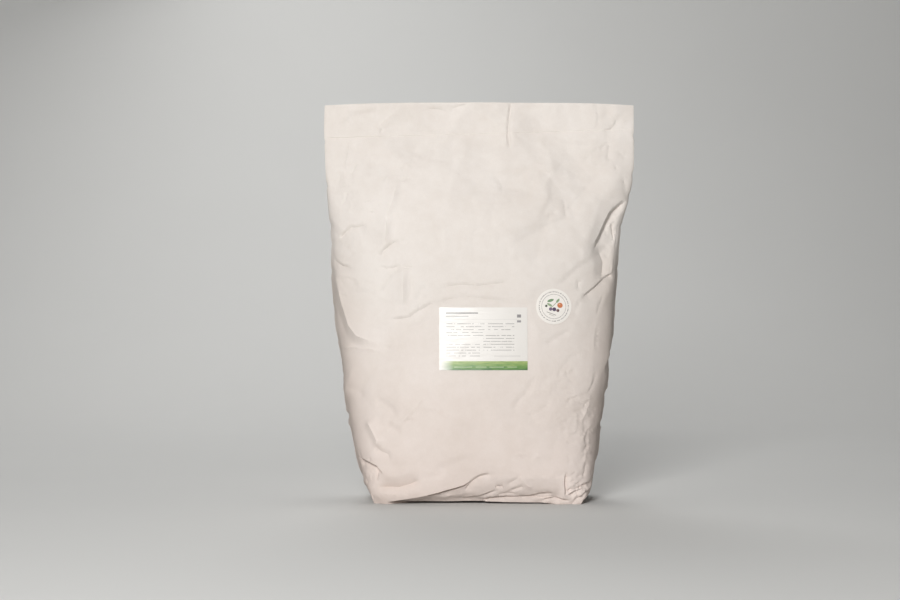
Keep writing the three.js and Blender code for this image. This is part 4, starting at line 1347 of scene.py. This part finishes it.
class FEEDSACK_OT_label(bpy.types.Operator):
    """Models the printed product label, laid on the front"""

    bl_idname = "feed_sack.label"
    bl_label = "Product Label"

    def execute(self, context):
        goods = context.scene.feed_sack_paper_goods
        size = LABEL_HIGH - LABEL_LOW
        middle = (LABEL_HIGH + LABEL_LOW) / 2
        deselect_all()
        bpy.ops.mesh.primitive_grid_add(
            x_subdivisions=round(size.x / goods.cell),
            y_subdivisions=round(size.z / goods.cell),
            size=1,
            location=(middle.x, LABEL_LOW.y - size.x, middle.z),
            rotation=(math.pi / 2, 0, 0),
        )
        label = context.active_object
        label.name = "printed_label"
        label.scale = (size.x, size.z, 1)
        label.data.uv_layers[0].name = "print"
        bpy.ops.object.transform_apply(location=True, rotation=True, scale=True)
        lay_on_sack(label, goods)
        material = coated_label_paper(context.scene.feed_sack_finish, size.x / MM, size.z / MM)
        finish_piece(label, "product_label", material)
        return {"FINISHED"}


class FEEDSACK_OT_sticker(bpy.types.Operator):
    """Models the round sticker, laid on the front"""

    bl_idname = "feed_sack.sticker"
    bl_label = "Round Sticker"

    SIDES = 96
    RINGS = 14

    def execute(self, context):
        goods = context.scene.feed_sack_paper_goods
        size = STICKER_HIGH - STICKER_LOW
        middle = (STICKER_HIGH + STICKER_LOW) / 2
        radius = size.x / 2
        deselect_all()
        bpy.ops.mesh.primitive_circle_add(
            vertices=self.SIDES,
            radius=radius,
            fill_type="NGON",
            location=(middle.x, STICKER_LOW.y - size.x, middle.z),
            rotation=(math.pi / 2, 0, 0),
        )
        sticker = context.active_object
        sticker.name = "printed_sticker"
        bpy.ops.object.transform_apply(location=True, rotation=True, scale=True)
        edit_selected(sticker, "FACE", [True])
        for _ in range(self.RINGS - 1):
            bpy.ops.mesh.inset(thickness=radius / self.RINGS)
        bpy.ops.mesh.poke()
        bpy.ops.object.mode_set(mode="OBJECT")
        at = coordinates(sticker)
        corners = np.empty(len(sticker.data.loops), int)
        sticker.data.loops.foreach_get("vertex_index", corners)
        uv = (at[corners][:, [0, 2]] - (middle.x, middle.z)) / size.x + 0.5
        layer = sticker.data.uv_layers.new(name="print")
        layer.data.foreach_set("uv", uv.ravel())
        lay_on_sack(sticker, goods)
        material = coated_sticker_paper(context.scene.feed_sack_finish, radius / MM)
        finish_piece(sticker, "round_sticker", material)
        return {"FINISHED"}


def add_area_light(name, location, target, size, power, colour):
    bpy.ops.object.light_add(type="AREA", location=location)
    light = bpy.context.active_object
    light.name = name
    light.data.shape = "DISK"
    light.data.size = size
    light.data.energy = power
    light.data.color = colour
    light.visible_camera = False
    aim(light, target)


def aim(obj, target):
    """Turns a light to look at a point."""
    from_here = np.array(target) - np.array(obj.location)
    flat = math.hypot(from_here[0], from_here[1])
    obj.rotation_euler = (math.atan2(flat, -from_here[2]), 0, math.atan2(-from_here[0], from_here[1]))


class FEEDSACK_OT_stage(bpy.types.Operator):
    """Sets up the floor, the backdrop, the light and the camera"""

    bl_idname = "feed_sack.stage"
    bl_label = "Studio"

    FLOOR = 8.0
    CURVE_START = 1.6  # how far back the floor begins to curve up
    BACKDROP_HEIGHT = 5.0
    CURVE_RADIUS = 1.6
    CURVE_STEPS = 16
    CAMERA_X = -0.05  # the sack stands a little right of the picture's middle
    CAMERA_HEIGHT = 0.343
    SENSOR_WIDTH = 36
    SACK_MIDDLE = 0.34  # height that the lights point at

    def execute(self, context):
        studio = context.scene.feed_sack_studio
        self.build_backdrop(context, studio)
        deselect_all()
        middle = (0, 0, self.SACK_MIDDLE)
        add_area_light("key_light", (-0.75, -3.6, 1.85), middle, 1.5, studio.key_power, (1, 0.995, 0.985))
        add_area_light("fill_light", (0.4, -4.2, 1.2), middle, 2.4, studio.fill_power, (1, 1, 1))
        add_area_light("back_light", (-0.7, 2.6, 2.4), middle, 2.0, studio.back_power, (1, 1, 1))
        add_area_light("wall_light", (0, 0.6, 4.2), (0, 3.2, 1.2), 2.0, studio.wall_power, (1, 1, 1))
        world = bpy.data.worlds.new("studio_air")
        world.use_nodes = True
        world.node_tree.nodes["Background"].inputs["Color"].default_value = (1, 0.96, 0.93, 1)
        world.node_tree.nodes["Background"].inputs["Strength"].default_value = studio.sky
        context.scene.world = world
        context.scene.view_settings.view_transform = "Standard"

        deselect_all()
        bpy.ops.object.camera_add(
            location=(self.CAMERA_X, -studio.camera_distance, self.CAMERA_HEIGHT), rotation=(math.pi / 2, 0, 0),
        )
        camera = context.active_object
        camera.data.lens = studio.lens
        camera.data.sensor_width = self.SENSOR_WIDTH
        context.scene.camera = camera
        return {"FINISHED"}

    def build_backdrop(self, context, studio):
        """A floor that curves up into the wall behind."""
        deselect_all()
        bpy.ops.mesh.primitive_plane_add(size=1, location=(0, 0, 0))
        board = context.active_object
        board.name = "studio_floor"
        half = self.FLOOR / 2
        move_vertices(board, [(x, y, 0) for y in (-half, self.CURVE_START) for x in (-half, half)])
        edges = [all(board.data.vertices[v].co.y > 0 for v in edge.vertices) for edge in board.data.edges]
        edit_selected(board, "EDGE", edges)
        for i in range(self.CURVE_STEPS):
            a, b = (math.pi / 2 * k / self.CURVE_STEPS for k in (i, i + 1))
            forward = self.CURVE_RADIUS * (math.sin(b) - math.sin(a))
            upward = self.CURVE_RADIUS * (math.cos(a) - math.cos(b))
            bpy.ops.mesh.extrude_region_move(TRANSFORM_OT_translate={"value": (0, forward, upward)})
        bpy.ops.mesh.extrude_region_move(TRANSFORM_OT_translate={"value": (0, 0, self.BACKDROP_HEIGHT)})
        bpy.ops.mesh.select_all(action="SELECT")
        bpy.ops.mesh.normals_make_consistent(inside=False)
        bpy.ops.object.mode_set(mode="OBJECT")
        bpy.ops.object.shade_smooth()
        board.data.materials.append(studio_board(studio.board_colour))


class FEEDSACK_PT_panel(bpy.types.Panel):
    """Lists the sack's settings and its operators"""

    bl_idname = "FEEDSACK_PT_panel"
    bl_label = "Feed Sack"
    bl_space_type = "VIEW_3D"
    bl_region_type = "UI"
    bl_category = "Feed Sack"

    def draw(self, context):
        column = self.layout.column()
        for name, group in SETTINGS.items():
            for setting in group.__annotations__:
                column.prop(getattr(context.scene, name), setting)
        for operator in OPERATORS:
            column.operator(operator.bl_idname)


SETTINGS = {
    "feed_sack_sizes": FeedSackSizes,
    "feed_sack_paper_goods": FeedSackPaperGoods,
    "feed_sack_finish": FeedSackFinish,
    "feed_sack_studio": FeedSackStudio,
}
OPERATORS = (FEEDSACK_OT_sack, FEEDSACK_OT_label, FEEDSACK_OT_sticker, FEEDSACK_OT_stage)
CLASSES = (*SETTINGS.values(), *OPERATORS, FEEDSACK_PT_panel)


def register():
    for cls in CLASSES:
        bpy.utils.register_class(cls)
    for name, group in SETTINGS.items():
        setattr(bpy.types.Scene, name, PointerProperty(type=group))


def unregister():
    for name in SETTINGS:
        delattr(bpy.types.Scene, name)
    for cls in reversed(CLASSES):
        bpy.utils.unregister_class(cls)


def main():
    register()
    bpy.ops.feed_sack.sack()
    bpy.ops.feed_sack.label()
    bpy.ops.feed_sack.sticker()
    bpy.ops.feed_sack.stage()


if __name__ == "__main__":
    main()
